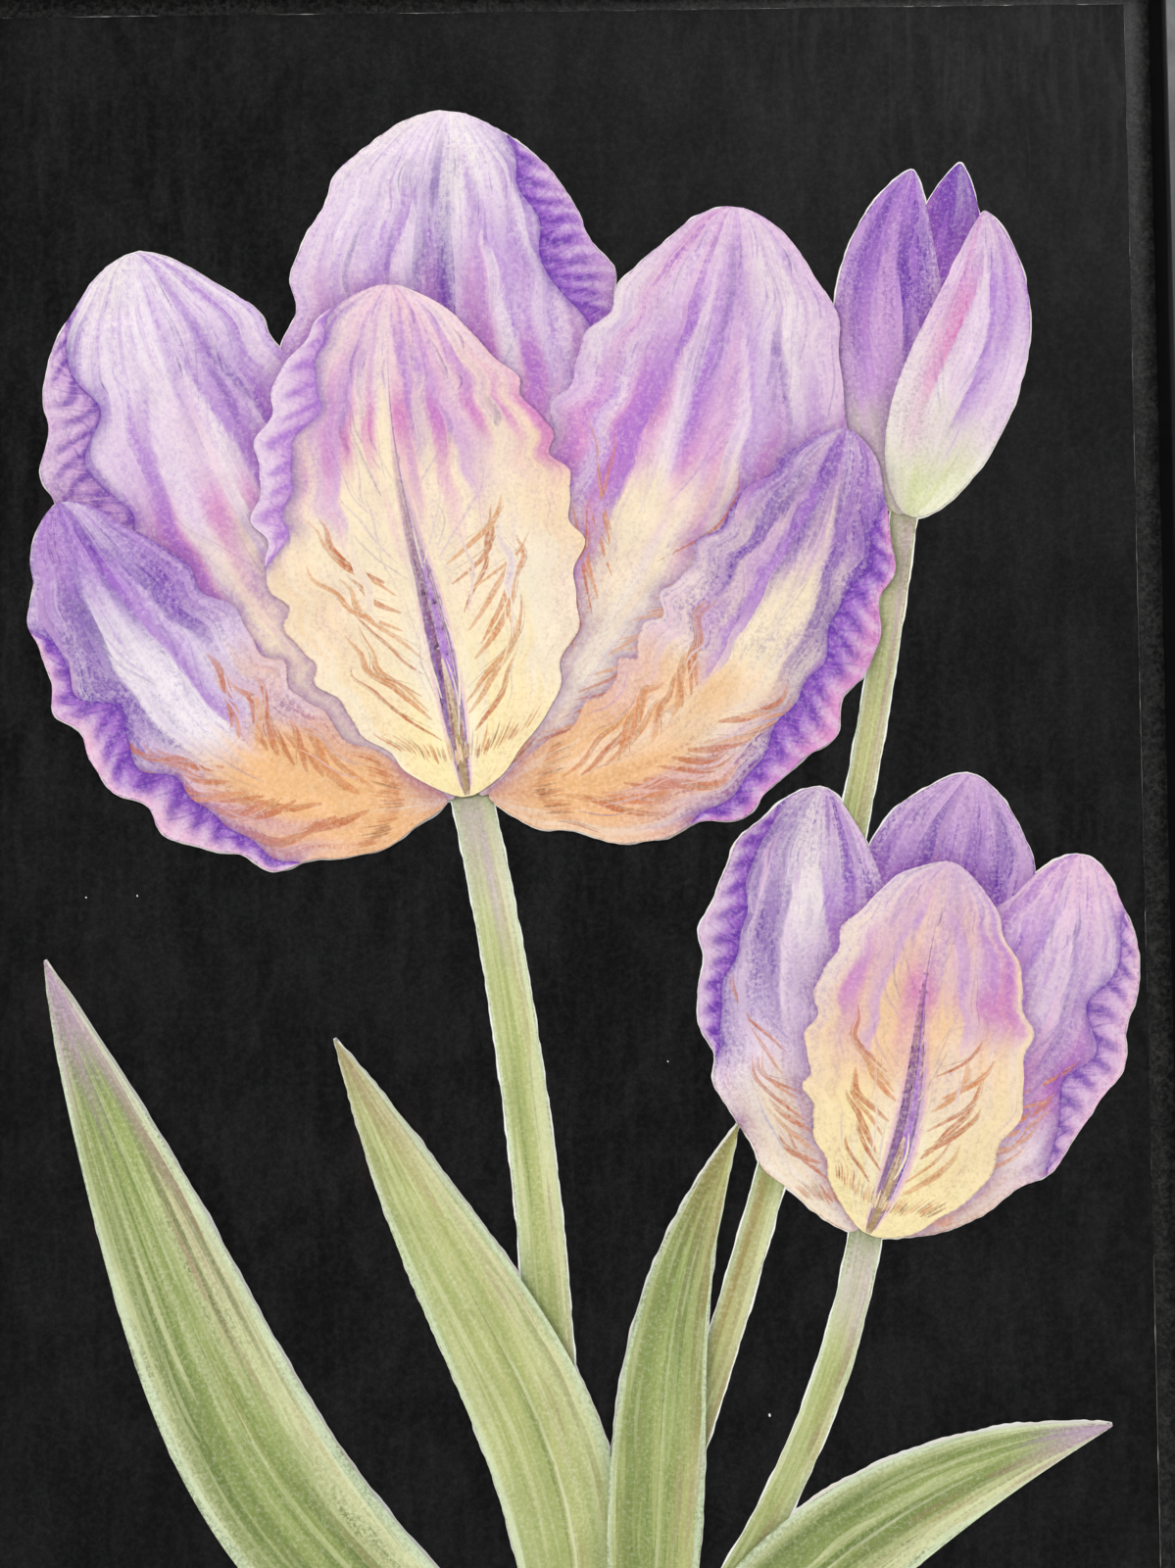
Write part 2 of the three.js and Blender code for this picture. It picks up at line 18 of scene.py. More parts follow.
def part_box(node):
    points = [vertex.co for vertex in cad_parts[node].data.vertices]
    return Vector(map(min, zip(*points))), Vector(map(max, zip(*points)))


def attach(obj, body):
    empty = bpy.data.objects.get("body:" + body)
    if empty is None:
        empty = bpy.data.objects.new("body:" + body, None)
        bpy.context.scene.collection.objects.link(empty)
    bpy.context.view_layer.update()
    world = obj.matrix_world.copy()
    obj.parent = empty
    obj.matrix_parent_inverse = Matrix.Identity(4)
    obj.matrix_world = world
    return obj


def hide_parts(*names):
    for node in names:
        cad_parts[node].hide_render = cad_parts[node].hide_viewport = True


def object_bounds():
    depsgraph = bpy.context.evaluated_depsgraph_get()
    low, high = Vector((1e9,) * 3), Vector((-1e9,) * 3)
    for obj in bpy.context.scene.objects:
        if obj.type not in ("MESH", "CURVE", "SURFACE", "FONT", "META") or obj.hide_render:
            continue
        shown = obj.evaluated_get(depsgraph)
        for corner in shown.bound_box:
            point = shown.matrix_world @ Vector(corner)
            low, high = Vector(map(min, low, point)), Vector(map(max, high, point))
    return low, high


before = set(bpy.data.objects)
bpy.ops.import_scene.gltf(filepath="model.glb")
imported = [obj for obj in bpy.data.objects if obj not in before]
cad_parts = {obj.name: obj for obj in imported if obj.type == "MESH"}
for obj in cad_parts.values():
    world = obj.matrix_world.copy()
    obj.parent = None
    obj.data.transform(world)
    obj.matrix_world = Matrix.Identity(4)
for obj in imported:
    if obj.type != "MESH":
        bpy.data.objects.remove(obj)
cad_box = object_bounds()

MM = 0.001
TURN = 2 * math.pi

sheet_low, sheet_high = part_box("paper_sheet")
SHEET_WIDTH = (sheet_high.x - sheet_low.x) / MM
SHEET_HEIGHT = (sheet_high.z - sheet_low.z) / MM
SHEET_THICKNESS = (sheet_high.y - sheet_low.y) / MM
SHEET_MIDDLE = Vector(((sheet_low.x + sheet_high.x) / 2, sheet_low.y, (sheet_low.z + sheet_high.z) / 2))

# Heights above the paper, in millimetres: paint lies in thin layers, each over the one before.
GROUND_LEVEL = 0.02
RESERVE_LEVEL = 0.05
FIRST_WASH_LEVEL = 0.08
LAYER = 0.02
FILM = 0.012

# ---- Colours and numbers ----


def colour(red, green, blue):
    """A scene-linear colour from 8-bit display values."""
    shares = np.array((red, green, blue)) / 255
    return np.where(shares <= 0.04045, shares / 12.92, ((shares + 0.055) / 1.055) ** 2.4)


PAPER = colour(246, 240, 229)
CREAM = colour(246, 228, 196)
YELLOW = colour(249, 232, 178)
APRICOT = colour(241, 203, 160)
AMBER = colour(238, 188, 136)
SAND = colour(214, 148, 98)
ORANGE = colour(208, 126, 72)
RUST = colour(190, 100, 56)
BROWN = colour(150, 84, 52)
TAUPE = colour(160, 122, 108)
PEARL = colour(240, 230, 237)
MAUVE = colour(232, 211, 227)
LILAC = colour(221, 190, 216)
ORCHID = colour(206, 163, 211)
VIOLET = colour(166, 110, 200)
INDIGO = colour(100, 48, 160)
PLUM = colour(126, 66, 128)
DUSK = colour(128, 70, 148)
INK = colour(104, 62, 118)
MAGENTA = colour(212, 110, 182)
ROSE = colour(221, 150, 200)
PINK = colour(235, 190, 214)
PALE_GREEN = colour(216, 219, 170)
STEM_GREEN = colour(190, 194, 128)
LEAF_GREEN = colour(158, 172, 104)
DARK_GREEN = colour(106, 124, 64)
OLIVE = colour(162, 140, 90)
MINT = colour(212, 226, 194)


def smooth(low, high, value):
    """An eased step from 0 at low to 1 at high; it falls with the value where high is the lesser."""
    share = np.clip((value - low) / (high - low), 0, 1)
    return share * share * (3 - 2 * share)


def mix(first, second, share):
    """One colour blended into another by an array of shares."""
    weight = np.asarray(share)[..., None]
    return first * (1 - weight) + second * weight


def ripple(x, y, size, seed):
    """Smooth noise of about -1 to 1, with features of about the given size, from a few sine waves."""
    draw = np.random.default_rng(seed)
    total = np.zeros(np.broadcast(x, y).shape)
    waves = 7
    for _ in range(waves):
        angle = draw.uniform(0, TURN)
        pitch = TURN / (size * draw.uniform(1.2, 3.2))
        phase = draw.uniform(0, TURN)
        total += np.sin((x * math.cos(angle) + y * math.sin(angle)) * pitch + phase)
    return total / math.sqrt(waves) / 1.1


# ---- The sheet's surface, and thin closed films that follow it ----


def cockle(x, y):
    """How far the wetted paper stands off its board, in millimetres."""
    waves = 0.07 * np.sin(x / 37 + 1.3) * np.sin(y / 49 + 0.4)
    to_edge = np.minimum(SHEET_WIDTH / 2 - np.abs(x), SHEET_HEIGHT / 2 - np.abs(y))
    lifted = 0.16 * np.exp(-np.maximum(to_edge, 0) / 16) * (0.5 + 0.5 * np.sin(x / 31 + y / 43))
    return 0.07 + waves + lifted


def film_points(x, y, level, thickness=FILM, films=1):
    """World points of films over sheet places: for each film those of its front, then of its back."""
    sides = []
    for height in (level + thickness, level):
        forward = cockle(x, y) + height
        place = (SHEET_MIDDLE.x + x * MM, SHEET_MIDDLE.y - forward * MM, SHEET_MIDDLE.z + y * MM)
        sides.append(np.stack(place, axis=-1).reshape(films, -1, 3))
    return np.concatenate(sides, axis=1).reshape(-1, 3)


def side_faces(loop, shift):
    """Quads that join a closed loop of front points to the same loop on the back."""
    following = np.roll(loop, -1)
    return np.stack((loop, loop + shift, following + shift, following), axis=-1)


def film_faces(rows, columns):
    """Faces of a closed film over a grid of places, with columns to the right and rows upwards."""
    index = np.arange(rows * columns).reshape(rows, columns)
    corners = (index[:-1, :-1], index[:-1, 1:], index[1:, 1:], index[1:, :-1])
    front = np.stack(corners, axis=-1).reshape(-1, 4)
    edge = np.concatenate((index[0, :-1], index[:-1, -1], index[-1, :0:-1], index[:0:-1, 0]))
    return np.concatenate((front, front[:, ::-1] + index.size, side_faces(edge, index.size)))


def joined(parts):
    """Several lots of points and faces as one."""
    points = []
    faces = []
    first = 0
    for some_points, some_faces in parts:
        points.append(some_points)
        faces.extend([corner + first for corner in face] for face in some_faces)
        first += len(some_points)
    return np.concatenate(points), faces


def rgba(shades, alpha=1.0):
    """Colours with a fourth share beside their three."""
    fourth = np.broadcast_to(alpha, shades.shape[:-1])
    return np.concatenate((shades, fourth[..., None]), axis=-1)


def new_piece(name, points, faces, films=1, **attributes):
    """A mesh object. Its attributes are given for the fronts of its films, and hold for the backs."""
    mesh = bpy.data.meshes.new(name)
    mesh.from_pydata(points.tolist(), [], [list(face) for face in faces])
    kinds = {1: ("FLOAT", "value"), 3: ("FLOAT_VECTOR", "vector"), 4: ("FLOAT_COLOR", "color")}
    for label, values in attributes.items():
        kind, key = kinds[values.shape[-1]]
        front = values.reshape(films, -1, values.shape[-1])
        both = np.concatenate((front, front), axis=1)
        mesh.attributes.new(label, kind, "POINT").data.foreach_set(key, both.astype(np.float32).ravel())
    mesh.update()
    piece = bpy.data.objects.new(name, mesh)
    bpy.context.scene.collection.objects.link(piece)
    return piece


def wear(piece, material):
    """Gives a piece one material in place of whatever it has."""
    piece.data.materials.clear()
    piece.data.materials.append(material)


def placed(piece, slot, material, *nodes):
    """Gives the piece its material, rides it on the one body and hides the nodes it stands for; the slot
    argument is not used.
    """
    wear(piece, material)
    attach(piece, "root")
    if nodes:
        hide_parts(*nodes)


# ---- Node materials ----


class Finish:
    """A node material, with short calls for the few kinds of node that the finishes use."""

    def __init__(self, name, roughness, specular=0.5, metallic=0.0, sheen=0.0):
        self.material = bpy.data.materials.new(name)
        self.material.use_nodes = True
        self.tree = self.material.node_tree
        self.surface = self.tree.nodes["Principled BSDF"]
        self.surface.inputs["Roughness"].default_value = roughness
        self.surface.inputs["Specular IOR Level"].default_value = specular
        self.surface.inputs["Metallic"].default_value = metallic
        self.surface.inputs["Sheen Weight"].default_value = sheen
        self.place = self.add("TexCoord", {}, "Object")

    def put(self, node, key, value):
        """Links a socket to an input, or sets the input's own value."""
        if isinstance(value, bpy.types.NodeSocket):
            self.tree.links.new(value, node.inputs[key])
        else:
            node.inputs[key].default_value = (*value, 1.0) if isinstance(value, np.ndarray) else value

    def add(self, kind, inputs, output=0, **settings):
        """The named or numbered output of a new node."""
        node = self.tree.nodes.new("ShaderNode" + kind)
        for key, value in settings.items():
            setattr(node, key, value)
        for key, value in inputs.items():
            self.put(node, key, value)
        return node.outputs[output]

    def done(self, shade, relief=None, roughness=None):
        """The material, once its surface has its colour, relief and roughness."""
        for key, value in (("Base Color", shade), ("Normal", relief), ("Roughness", roughness)):
            if value is not None:
                self.put(self.surface, key, value)
        return self.material

    def attribute(self, name, output="Color"):
        return self.add("Attribute", {}, output, attribute_name=name)

    def noise(self, scale, detail=3.0, roughness=0.5, distortion=0.0, over=None):
        """Noise over the piece's metres or over an attribute; a scale for each axis draws it out."""
        place = self.place if over is None else over
        if isinstance(scale, tuple):
            place = self.add("Mapping", {"Vector": place, "Scale": scale})
            scale = 1.0
        inputs = {"Vector": place, "Scale": scale, "Detail": detail}
        return self.add("TexNoise", {**inputs, "Roughness": roughness, "Distortion": distortion})

    def step(self, value, low, high, start=0.0, end=1.0):
        """A value's eased step from low to high, as start to end."""
        inputs = {"Value": value, "From Min": low, "From Max": high, "To Min": start, "To Max": end}
        return self.add("MapRange", inputs, interpolation_type="SMOOTHSTEP")

    def maths(self, operation, first, second):
        return self.add("Math", {0: first, 1: second}, operation=operation)

    def times(self, first, second):
        return self.maths("MULTIPLY", first, second)

    def plus(self, first, second):
        return self.maths("ADD", first, second)

    def blend(self, first, second, share, mode="MIX"):
        return self.add("Mix", {0: share, 6: first, 7: second}, 2, data_type="RGBA", blend_type=mode)

    def weigh(self, shade, factor):
        """A colour made lighter or darker by a factor."""
        grey = self.add("CombineColor", {0: factor, 1: factor, 2: factor})
        return self.blend(shade, grey, 1.0, "MULTIPLY")

    def bump(self, height, millimetres, strength, under=None):
        """The relief of a height, over any relief under it."""
        inputs = {"Height": height, "Distance": millimetres * MM, "Strength": strength}
        return self.add("Bump", inputs if under is None else {**inputs, "Normal": under})


def watercolour_finish():
    """Transparent wash with coloured pencil along the form, both broken by the paper's tooth."""
    paint = Finish("watercolour_and_pencil", 0.88, 0.2)
    grain = paint.attribute("grain", "Vector")
    pencil = paint.attribute("pencil")
    load = paint.attribute("pencil", "Alpha")

    # Broad brush streaks and finer pencil lines, drawn out along the form and broken by the tooth.
    broad = paint.step(paint.noise((0.3, 0.03, 1.0), 3.0, 0.6, 0.5, grain), 0.4, 0.66, 0.0, 0.68)
    fine = paint.step(paint.noise((1.0, 0.07, 1.0), 3.0, 0.65, 0.4, grain), 0.45, 0.66, 0.0, 0.62)
    tooth = paint.noise(1000.0, 3.0, 0.75)
    skipped = paint.step(tooth, 0.4, 0.6, 1.0, 0.22)
    strength = paint.times(paint.times(paint.plus(broad, fine), load), skipped)
    shade = paint.blend(paint.attribute("wash"), pencil, paint.maths("MINIMUM", strength, 0.92))

    # Single grains of pigment where the pencil went, and pools of stronger and weaker wash.
    specks = paint.step(paint.noise(950.0, 2.0, 0.85), 0.56, 0.68)
    shade = paint.blend(shade, pencil, paint.times(specks, paint.times(load, 0.6)))
    shade = paint.blend(shade, PAPER, paint.step(tooth, 0.48, 0.7, 0.0, 0.2))
    shade = paint.weigh(shade, paint.step(tooth, 0.3, 0.5, 0.93, 1.03))
    shade = paint.weigh(shade, paint.step(paint.noise(75.0, 4.0, 0.6, 0.8), 0.3, 0.72, 0.93, 1.02))

    # The thin contour in pencil just inside the edge, firm in places and lost in others.
    line = paint.step(paint.attribute("rim", "Fac"), 0.2, 0.6, 1.0, 0.0)
    pressed = paint.step(paint.noise(90.0), 0.42, 0.62, 0.0, 0.5)
    line = paint.times(paint.times(line, pressed), skipped)
    shade = paint.blend(shade, paint.blend(pencil, INK, 0.4), line)
    return paint.done(shade, paint.bump(paint.noise(780.0, 4.0, 0.65), 0.07, 0.6))


def gouache_finish():
    """Matt black body colour: mottled, faintly brushed up and down, and scuffed to grey in places."""
    paint = Finish("black_gouache", 0.56, 0.1)
    upright = paint.noise((300.0, 1.0, 42.0), 4.0, 0.6, 0.6)
    cloudy = paint.noise((60.0, 1.0, 34.0), 4.0, 0.6, 0.8)
    mottled = paint.noise(620.0, 3.0, 0.75)
    thin = paint.plus(paint.step(upright, 0.44, 0.68, 0.0, 0.36), paint.step(cloudy, 0.38, 0.66, 0.0, 0.44))
    thin = paint.plus(thin, paint.step(mottled, 0.4, 0.64, 0.0, 0.45))
    shade = paint.blend(paint.attribute("wash"), colour(31, 31, 32), thin)
    scuff = paint.noise((70.0, 1.0, 420.0), 5.0, 0.7, 1.5)
    shade = paint.blend(shade, colour(48, 48, 48), paint.step(scuff, 0.63, 0.8, 0.0, 0.35))
    shade = paint.weigh(shade, paint.step(paint.noise(1300.0, 3.0, 0.75), 0.34, 0.66, 0.72, 1.25))
    relief = paint.bump(paint.noise(780.0, 4.0, 0.65), 0.06, 0.6, paint.bump(upright, 0.04, 0.5))
    return paint.done(shade, relief, paint.step(upright, 0.35, 0.65, 0.46, 0.64))


def paper_finish():
    paper = Finish("watercolour_paper", 0.9, 0.2)
    shade = paper.blend(colour(244, 243, 240), PAPER, paper.step(paper.noise(90.0), 0.3, 0.7))
    return paper.done(shade, paper.bump(paper.noise(780.0, 4.0, 0.65), 0.05, 0.5))


def mount_board_finish():
    """Black card with a fine fibrous face that lifts to grey in slanting light."""
    card = Finish("black_mount_board", 0.42, 0.2)
    fibres = card.noise(900.0, 4.0, 0.75)
    cloudy = card.noise(240.0, 4.0, 0.7)
    shade = card.blend(colour(14, 14, 14), colour(62, 61, 60), card.step(fibres, 0.36, 0.68, 0.0, 0.8))
    shade = card.blend(shade, colour(18, 18, 18), card.step(cloudy, 0.42, 0.62, 0.0, 0.45))
    dust = card.step(card.noise(1500.0, 1.0), 0.74, 0.79, 0.0, 0.5)
    return card.done(card.blend(shade, colour(130, 128, 124), dust), card.bump(fibres, 0.06, 0.9))


def rail_finish(name, order):
    """Satin black lacquer on the seen sides, and bare pale wood on the back that faces the wall.

    The grain's scales are those of an upright rail, and an order of -1 turns them to a level one.
    """
    rail = Finish(name, 0.44, 0.6)
    veins = rail.noise((900.0, 900.0, 14.0)[::order], 4.0, 0.6, 0.4)
    rings = rail.noise((110.0, 110.0, 3.0)[::order], 3.0, 0.5, 1.5)
    lacquer = rail.blend(colour(6, 6, 7), colour(14, 14, 15), rail.step(veins, 0.4, 0.7))
    pine = rail.blend(colour(214, 178, 128), colour(170, 122, 74), rail.step(rings, 0.42, 0.6))
    pine = rail.blend(pine, colour(140, 96, 58), rail.step(veins, 0.5, 0.75, 0.0, 0.5))

    # Bare wood faces the wall; a little black has run over the edge on to it.
    facing = rail.add("SeparateXYZ", {0: rail.add("NewGeometry", {}, "Normal")}, "Y")
    depth = rail.add("SeparateXYZ", {0: rail.place}, "Y")
    ragged = rail.times(rail.step(rail.noise(300.0, 4.0), 0.3, 0.7), 1.2 * MM)
    at_back = rail.step(rail.plus(depth, ragged), -1.2 * MM, -0.2 * MM)
    bare = rail.times(rail.step(facing, 0.5, 0.9), at_back)

    handled = rail.step(rail.noise(34.0, 5.0, 0.65, 0.6), 0.35, 0.72, 0.30, 0.44)
    relief = rail.bump(rail.noise(500.0, 2.0), 0.02, 0.35, rail.bump(veins, 0.035, 0.5))
    roughness = rail.maths("MAXIMUM", handled, rail.times(bare, 0.8))
    return rail.done(rail.blend(lacquer, pine, bare), relief, roughness)


def hardboard_finish():
    """Brown pressed fibre, with the print of the press's wire mesh on the side that shows."""
    board = Finish("hardboard", 0.72, 0.3)
    fibres = board.noise(420.0, 5.0, 0.75, 0.8)
    blotches = board.noise(24.0, 3.0, 0.6)
    shade = board.blend(colour(104, 68, 42), colour(156, 112, 74), board.step(fibres, 0.3, 0.72))
    shade = board.blend(shade, colour(120, 82, 52), board.step(blotches, 0.35, 0.7, 0.0, 0.7))
    wires = {"Vector": board.place, "Scale": 210.0, "Distortion": 1.5}
    weave = [board.add("TexWave", wires, "Fac", bands_direction=direction) for direction in "XZ"]
    relief = board.bump(fibres, 0.1, 0.6, board.bump(board.times(*weave), 0.15, 0.6))
    return board.done(shade, relief)


def metal_finish(name, light, dark, roughness):
    """Plated or rolled metal with fine rolling lines and a few dull patches."""
    metal = Finish(name, roughness, metallic=1.0)
    rolled = metal.noise((120.0, 2400.0, 2400.0), 3.0, 0.6)
    patches = metal.noise(260.0, 4.0, 0.6)
    shade = metal.blend(light, dark, metal.step(patches, 0.4, 0.75))
    dulled = metal.step(patches, 0.35, 0.75, roughness, roughness + 0.22)
    return metal.done(shade, metal.bump(rolled, 0.01, 0.4), dulled)


def felt_finish():
    felt = Finish("felt", 0.95, 0.15, sheen=0.4)
    fibres = felt.noise(2200.0, 5.0, 0.75, 2.0)
    shade = felt.blend(colour(36, 36, 38), colour(70, 70, 73), felt.step(fibres, 0.3, 0.75))
    return felt.done(shade, felt.bump(fibres, 0.2, 0.8))


def tape_finish():
    tape = Finish("mounting_tape", 0.7, 0.3)
    fibres = tape.noise(600.0, 4.0, 0.7)
    shade = tape.blend(colour(228, 221, 204), colour(206, 197, 176), tape.step(fibres, 0.3, 0.7))
    return tape.done(shade, tape.bump(fibres, 0.03, 0.5))


def floor_finish():
    floor = Finish("pale_floor", 0.85, 0.2)
    return floor.done(floor.blend(colour(226, 225, 222), colour(219, 218, 215), floor.noise(2.0, 2.0)))


# ---- Forms of the motif: the same formulas that lay out the solids ----


@dataclass
class Blade:
    """A petal or leaf: a curved centre line with a width that swells and dies out along it.

    It leans by so many degrees from upright, and reaches so far. Foot and crown say how slowly it
    widens at either end, skew how much fuller its right half is, and ruffle how deep its edge waves.
    """

    base: tuple
    lean: float
    reach: float
    half: float
    foot: float
    crown: float
    skew: float = 0
    bow: float = 0
    sway: float = 0
    ruffle: float = 0
    waves: float = 0
    phase: float = 0
    rim = None

    def spine(self, t):
        """Points of the centre line, and the unit vectors along it."""
        lean = math.radians(self.lean)
        up = np.array((math.sin(lean), math.cos(lean)))
        aside = np.array((math.cos(lean), -math.sin(lean)))
        offset = 4 * self.bow * t * (1 - t) + self.sway * np.sin(TURN * t)
        slope = 4 * self.bow * (1 - 2 * t) + self.sway * TURN * np.cos(TURN * t)
        at = self.base + t[..., None] * self.reach * up + offset[..., None] * aside
        along = self.reach * up + slope[..., None] * aside
        return at, along / np.linalg.norm(along, axis=-1, keepdims=True)

    def half_width(self, t, side):
        """Half the width on one side, -1 for the left or 1 for the right."""
        widest = self.foot / (self.foot + self.crown)
        inside = np.clip(t, 0, 1)
        swell = (inside / widest) ** self.foot * ((1 - inside) / (1 - widest)) ** self.crown
        return self.half * (1 + np.sign(side) * self.skew) * swell

    def out_to(self, t, side):
        """The distance from the centre line to one edge, with its ruffle."""
        waves = np.where(side < 0, self.waves, self.waves - 1.5)
        start = np.where(side < 0, self.phase, self.phase + 2)
        long_wave = np.sin(TURN * waves * t + start)
        short_wave = np.sin(TURN * 1.7 * waves * t + 2.6 * start)
        depth = self.ruffle * np.sqrt(np.maximum(np.sin(math.pi * t), 0))
        return self.half_width(t, side) + depth * (long_wave + 0.45 * short_wave)

    def square_to(self, t, out):
        """Places at a distance to the right of the centre line, or to its left where it is negative."""
        centre, along = self.spine(t)
        return centre[..., 0] + along[..., 1] * out, centre[..., 1] - along[..., 0] * out

    def at(self, t, u):
        """Sheet places from shares along and across."""
        t, u = np.broadcast_arrays(t, u)
        return self.square_to(t, self.out_to(t, u) * u)


@dataclass
class Rim:
    """The turned-over rim of a petal: from its edge in to a wavy line that meets the edge at both ends."""

    petal: Blade
    side: int
    low: float
    high: float
    width: float
    waves: float
    phase: float
    rim = None

    def __post_init__(self):
        self.reach = self.petal.reach * (self.high - self.low)
        self.half = self.width / 2

    def depth(self, t):
        """How far the rim reaches in from the petal's edge."""
        inside = np.clip(t, 0, 1)
        wave = 1 + 0.2 * np.sin(TURN * self.waves * inside + self.phase)
        return self.width * np.sin(math.pi * inside) ** 0.75 * wave

    def half_width(self, t, side):
        return self.depth(t) / 2

    def at(self, t, u):
        t, u = np.broadcast_arrays(t, u)
        petal_t = self.low + (self.high - self.low) * t
        out = self.petal.out_to(petal_t, self.side) - self.depth(t) * (1 - self.side * u) / 2
        return self.petal.square_to(petal_t, self.side * out)

    def gap_from(self, t, u):
        """The distance from the rim's inner line, towards the petal's middle, at places on the petal."""
        own_t = (t - self.low) / (self.high - self.low)
        from_edge = self.petal.out_to(t, self.side) - u * self.side * self.petal.out_to(t, u)
        beyond = np.maximum(np.abs(own_t - 0.5) - 0.5, 0) * self.reach
        return np.hypot(np.maximum(from_edge - self.depth(own_t), 0), beyond * 2)


@dataclass
class Stem:
    """A stem, level across at every height."""

    base: tuple
    lean: float
    reach: float
    bow: float
    half: float
    top_half: float
    rim = None

    def half_width(self, t, side):
        return self.half + (self.top_half - self.half) * t

    def at(self, t, u):
        t, u = np.broadcast_arrays(t, u)
        line = Blade(self.base, self.lean, self.reach, self.half, 1, 1, bow=self.bow)
        centre, _ = line.spine(t)
        return centre[..., 0] + u * self.half_width(t, u), centre[..., 1]


# ---- How the forms are coloured ----


@dataclass
class Scheme:
    """How a petal is coloured. Bare numbers are amounts, and spans are shares along the petal."""

    washes: tuple  # at the foot, in the body, at the tip and along the sides
    pencils: tuple  # at the foot and at the tip
    turn: tuple = (0.1, 0.45)  # the span where the foot's wash gives way to the body's
    sides: float = 0.6
    tip: float = 0.8
    pencil: float = 0.3
    lifted: float = 0.6  # wash lifted off, back to the paper
    streak: tuple = (VIOLET, 0.45, 0.35, 0.75)  # tint, amount, and the span where it starts
    shade: tuple = ()  # the darker side, tint, amount
    flame: tuple = ()  # tint, width, and the span up the middle
    blush: tuple = ()  # tint, the share where it is strongest, spread
    hatch: tuple = ()  # the least and greatest width of the strokes at the foot
    midrib: bool = False
    creases: tuple = ()  # from t and u, to t and u, width, tint, amount, bend


def crease_weight(form, crease, t, u, flicker):
    """How strongly a crease shows: hard along its line, and fading outwards from it."""
    from_t, from_u, to_t, to_u, width, _, amount, bend = crease
    side = math.copysign(1, from_u)
    share = np.clip((t - from_t) / (to_t - from_t), 0, 1)
    line = from_u + (to_u - from_u) * share + side * bend * np.sin(math.pi * share)
    gap = (u - line) * side * form.half_width(t, side)
    reach = width * (0.3 + np.sin(math.pi * share) ** 0.7) * np.clip(1 + 0.4 * flicker, 0.4, 2)
    ends = smooth(0.0, 0.22, share) * smooth(1.0, 0.72, share)
    return amount * smooth(-0.7, 0.3, gap) * np.exp(-np.maximum(gap, 0) / reach) * ends


def petal_colours(form, scheme, t, u, seed):
    """The wash, the pencil and the pencil's strength at places on a petal."""
    foot, body, tip, sides = scheme.washes
    along = t * form.reach
    fanned = u * form.half
    drift = ripple(fanned, along, 17, seed)
    flicker = ripple(fanned * 2.2, along * 0.45, 7, seed + 1)
    streaks = ripple(fanned * 1.5, along * 0.13, 7, seed + 2)
    threads = ripple(fanned * 3.4, along * 0.2, 7, seed + 3)
    wash = mix(foot, body, smooth(*scheme.turn, t + 0.06 * drift + 0.03 * threads))
    at_side = smooth(0.45, 1.05, np.abs(u) + 0.1 * drift + 0.05 * flicker) * smooth(0.05, 0.4, t)
    wash = mix(wash, sides, scheme.sides * at_side)
    at_tip = smooth(0.55, 1.0, t + 0.05 * drift + 0.06 * streaks + 0.03 * threads)
    wash = mix(wash, tip, scheme.tip * at_tip)
    lift = ripple(fanned * 0.9, along * 0.5, 19, seed + 4) + 0.35 * threads
    wash = mix(wash, PAPER, 0.9 * scheme.lifted * smooth(0.0, 1.1, lift))
    if scheme.blush:
        tint, middle, spread = scheme.blush
        blush = np.exp(-(((t - middle + 0.05 * drift) / spread) ** 2)) * smooth(-0.6, 0.8, streaks)
        wash = mix(wash, tint, 0.8 * blush)
    tint, amount, low, high = scheme.streak
    streak = 0.75 * smooth(0.15, 0.95, streaks) + 0.25 * smooth(0.2, 1.0, threads)
    streak = streak * smooth(low, high, t) * (1 - 0.5 * smooth(0.92, 1.0, t))
    wash = mix(wash, tint, amount * streak)
    pencil = mix(*scheme.pencils, smooth(0.15, 0.55, t + 0.05 * drift))
    strength = scheme.pencil * (0.6 + 0.5 * at_tip + 0.3 * at_side + 0.7 * streak + 0.25 * drift)
    if scheme.flame:
        tint, width, low, high = scheme.flame
        height = smooth(low, low + 0.12, t) * smooth(high, high - 0.3, t)
        width = width * (0.4 + 0.6 * smooth(low, high, t)) * (1 + 0.3 * flicker + 0.2 * threads)
        flame = np.exp(-((u / np.maximum(width, 0.01)) ** 2)) * height
        wash = mix(wash, tint, 0.8 * flame)
        pencil = mix(pencil, tint, smooth(0.1, 0.5, flame))
        strength = strength + 0.7 * flame
    if scheme.shade:
        side, tint, amount = scheme.shade
        shaded = smooth(0.12, 0.5, u * side + 0.08 * drift) * smooth(1.0, 0.6, u * side) * smooth(0.1, 0.3, t)
        wash = mix(wash, tint, amount * shaded * (0.6 + 0.6 * streaks).clip(0.1, 1))
        strength = strength + 0.3 * shaded
    for crease in scheme.creases:
        weight = crease_weight(form, crease, t, u, flicker)
        tint = crease[5]
        wash = mix(wash, tint, weight)
        pencil = mix(pencil, tint, smooth(0.1, 0.5, weight))
        strength = strength + 0.45 * weight
    if form.rim:
        under = np.exp(-form.rim.gap_from(t, u) / (2.4 + 1.0 * flicker).clip(1.0, 5))
        wash = mix(wash, INDIGO, 0.75 * under)
        strength = strength + 0.4 * under
    return wash, pencil, np.clip(strength, 0, 1)


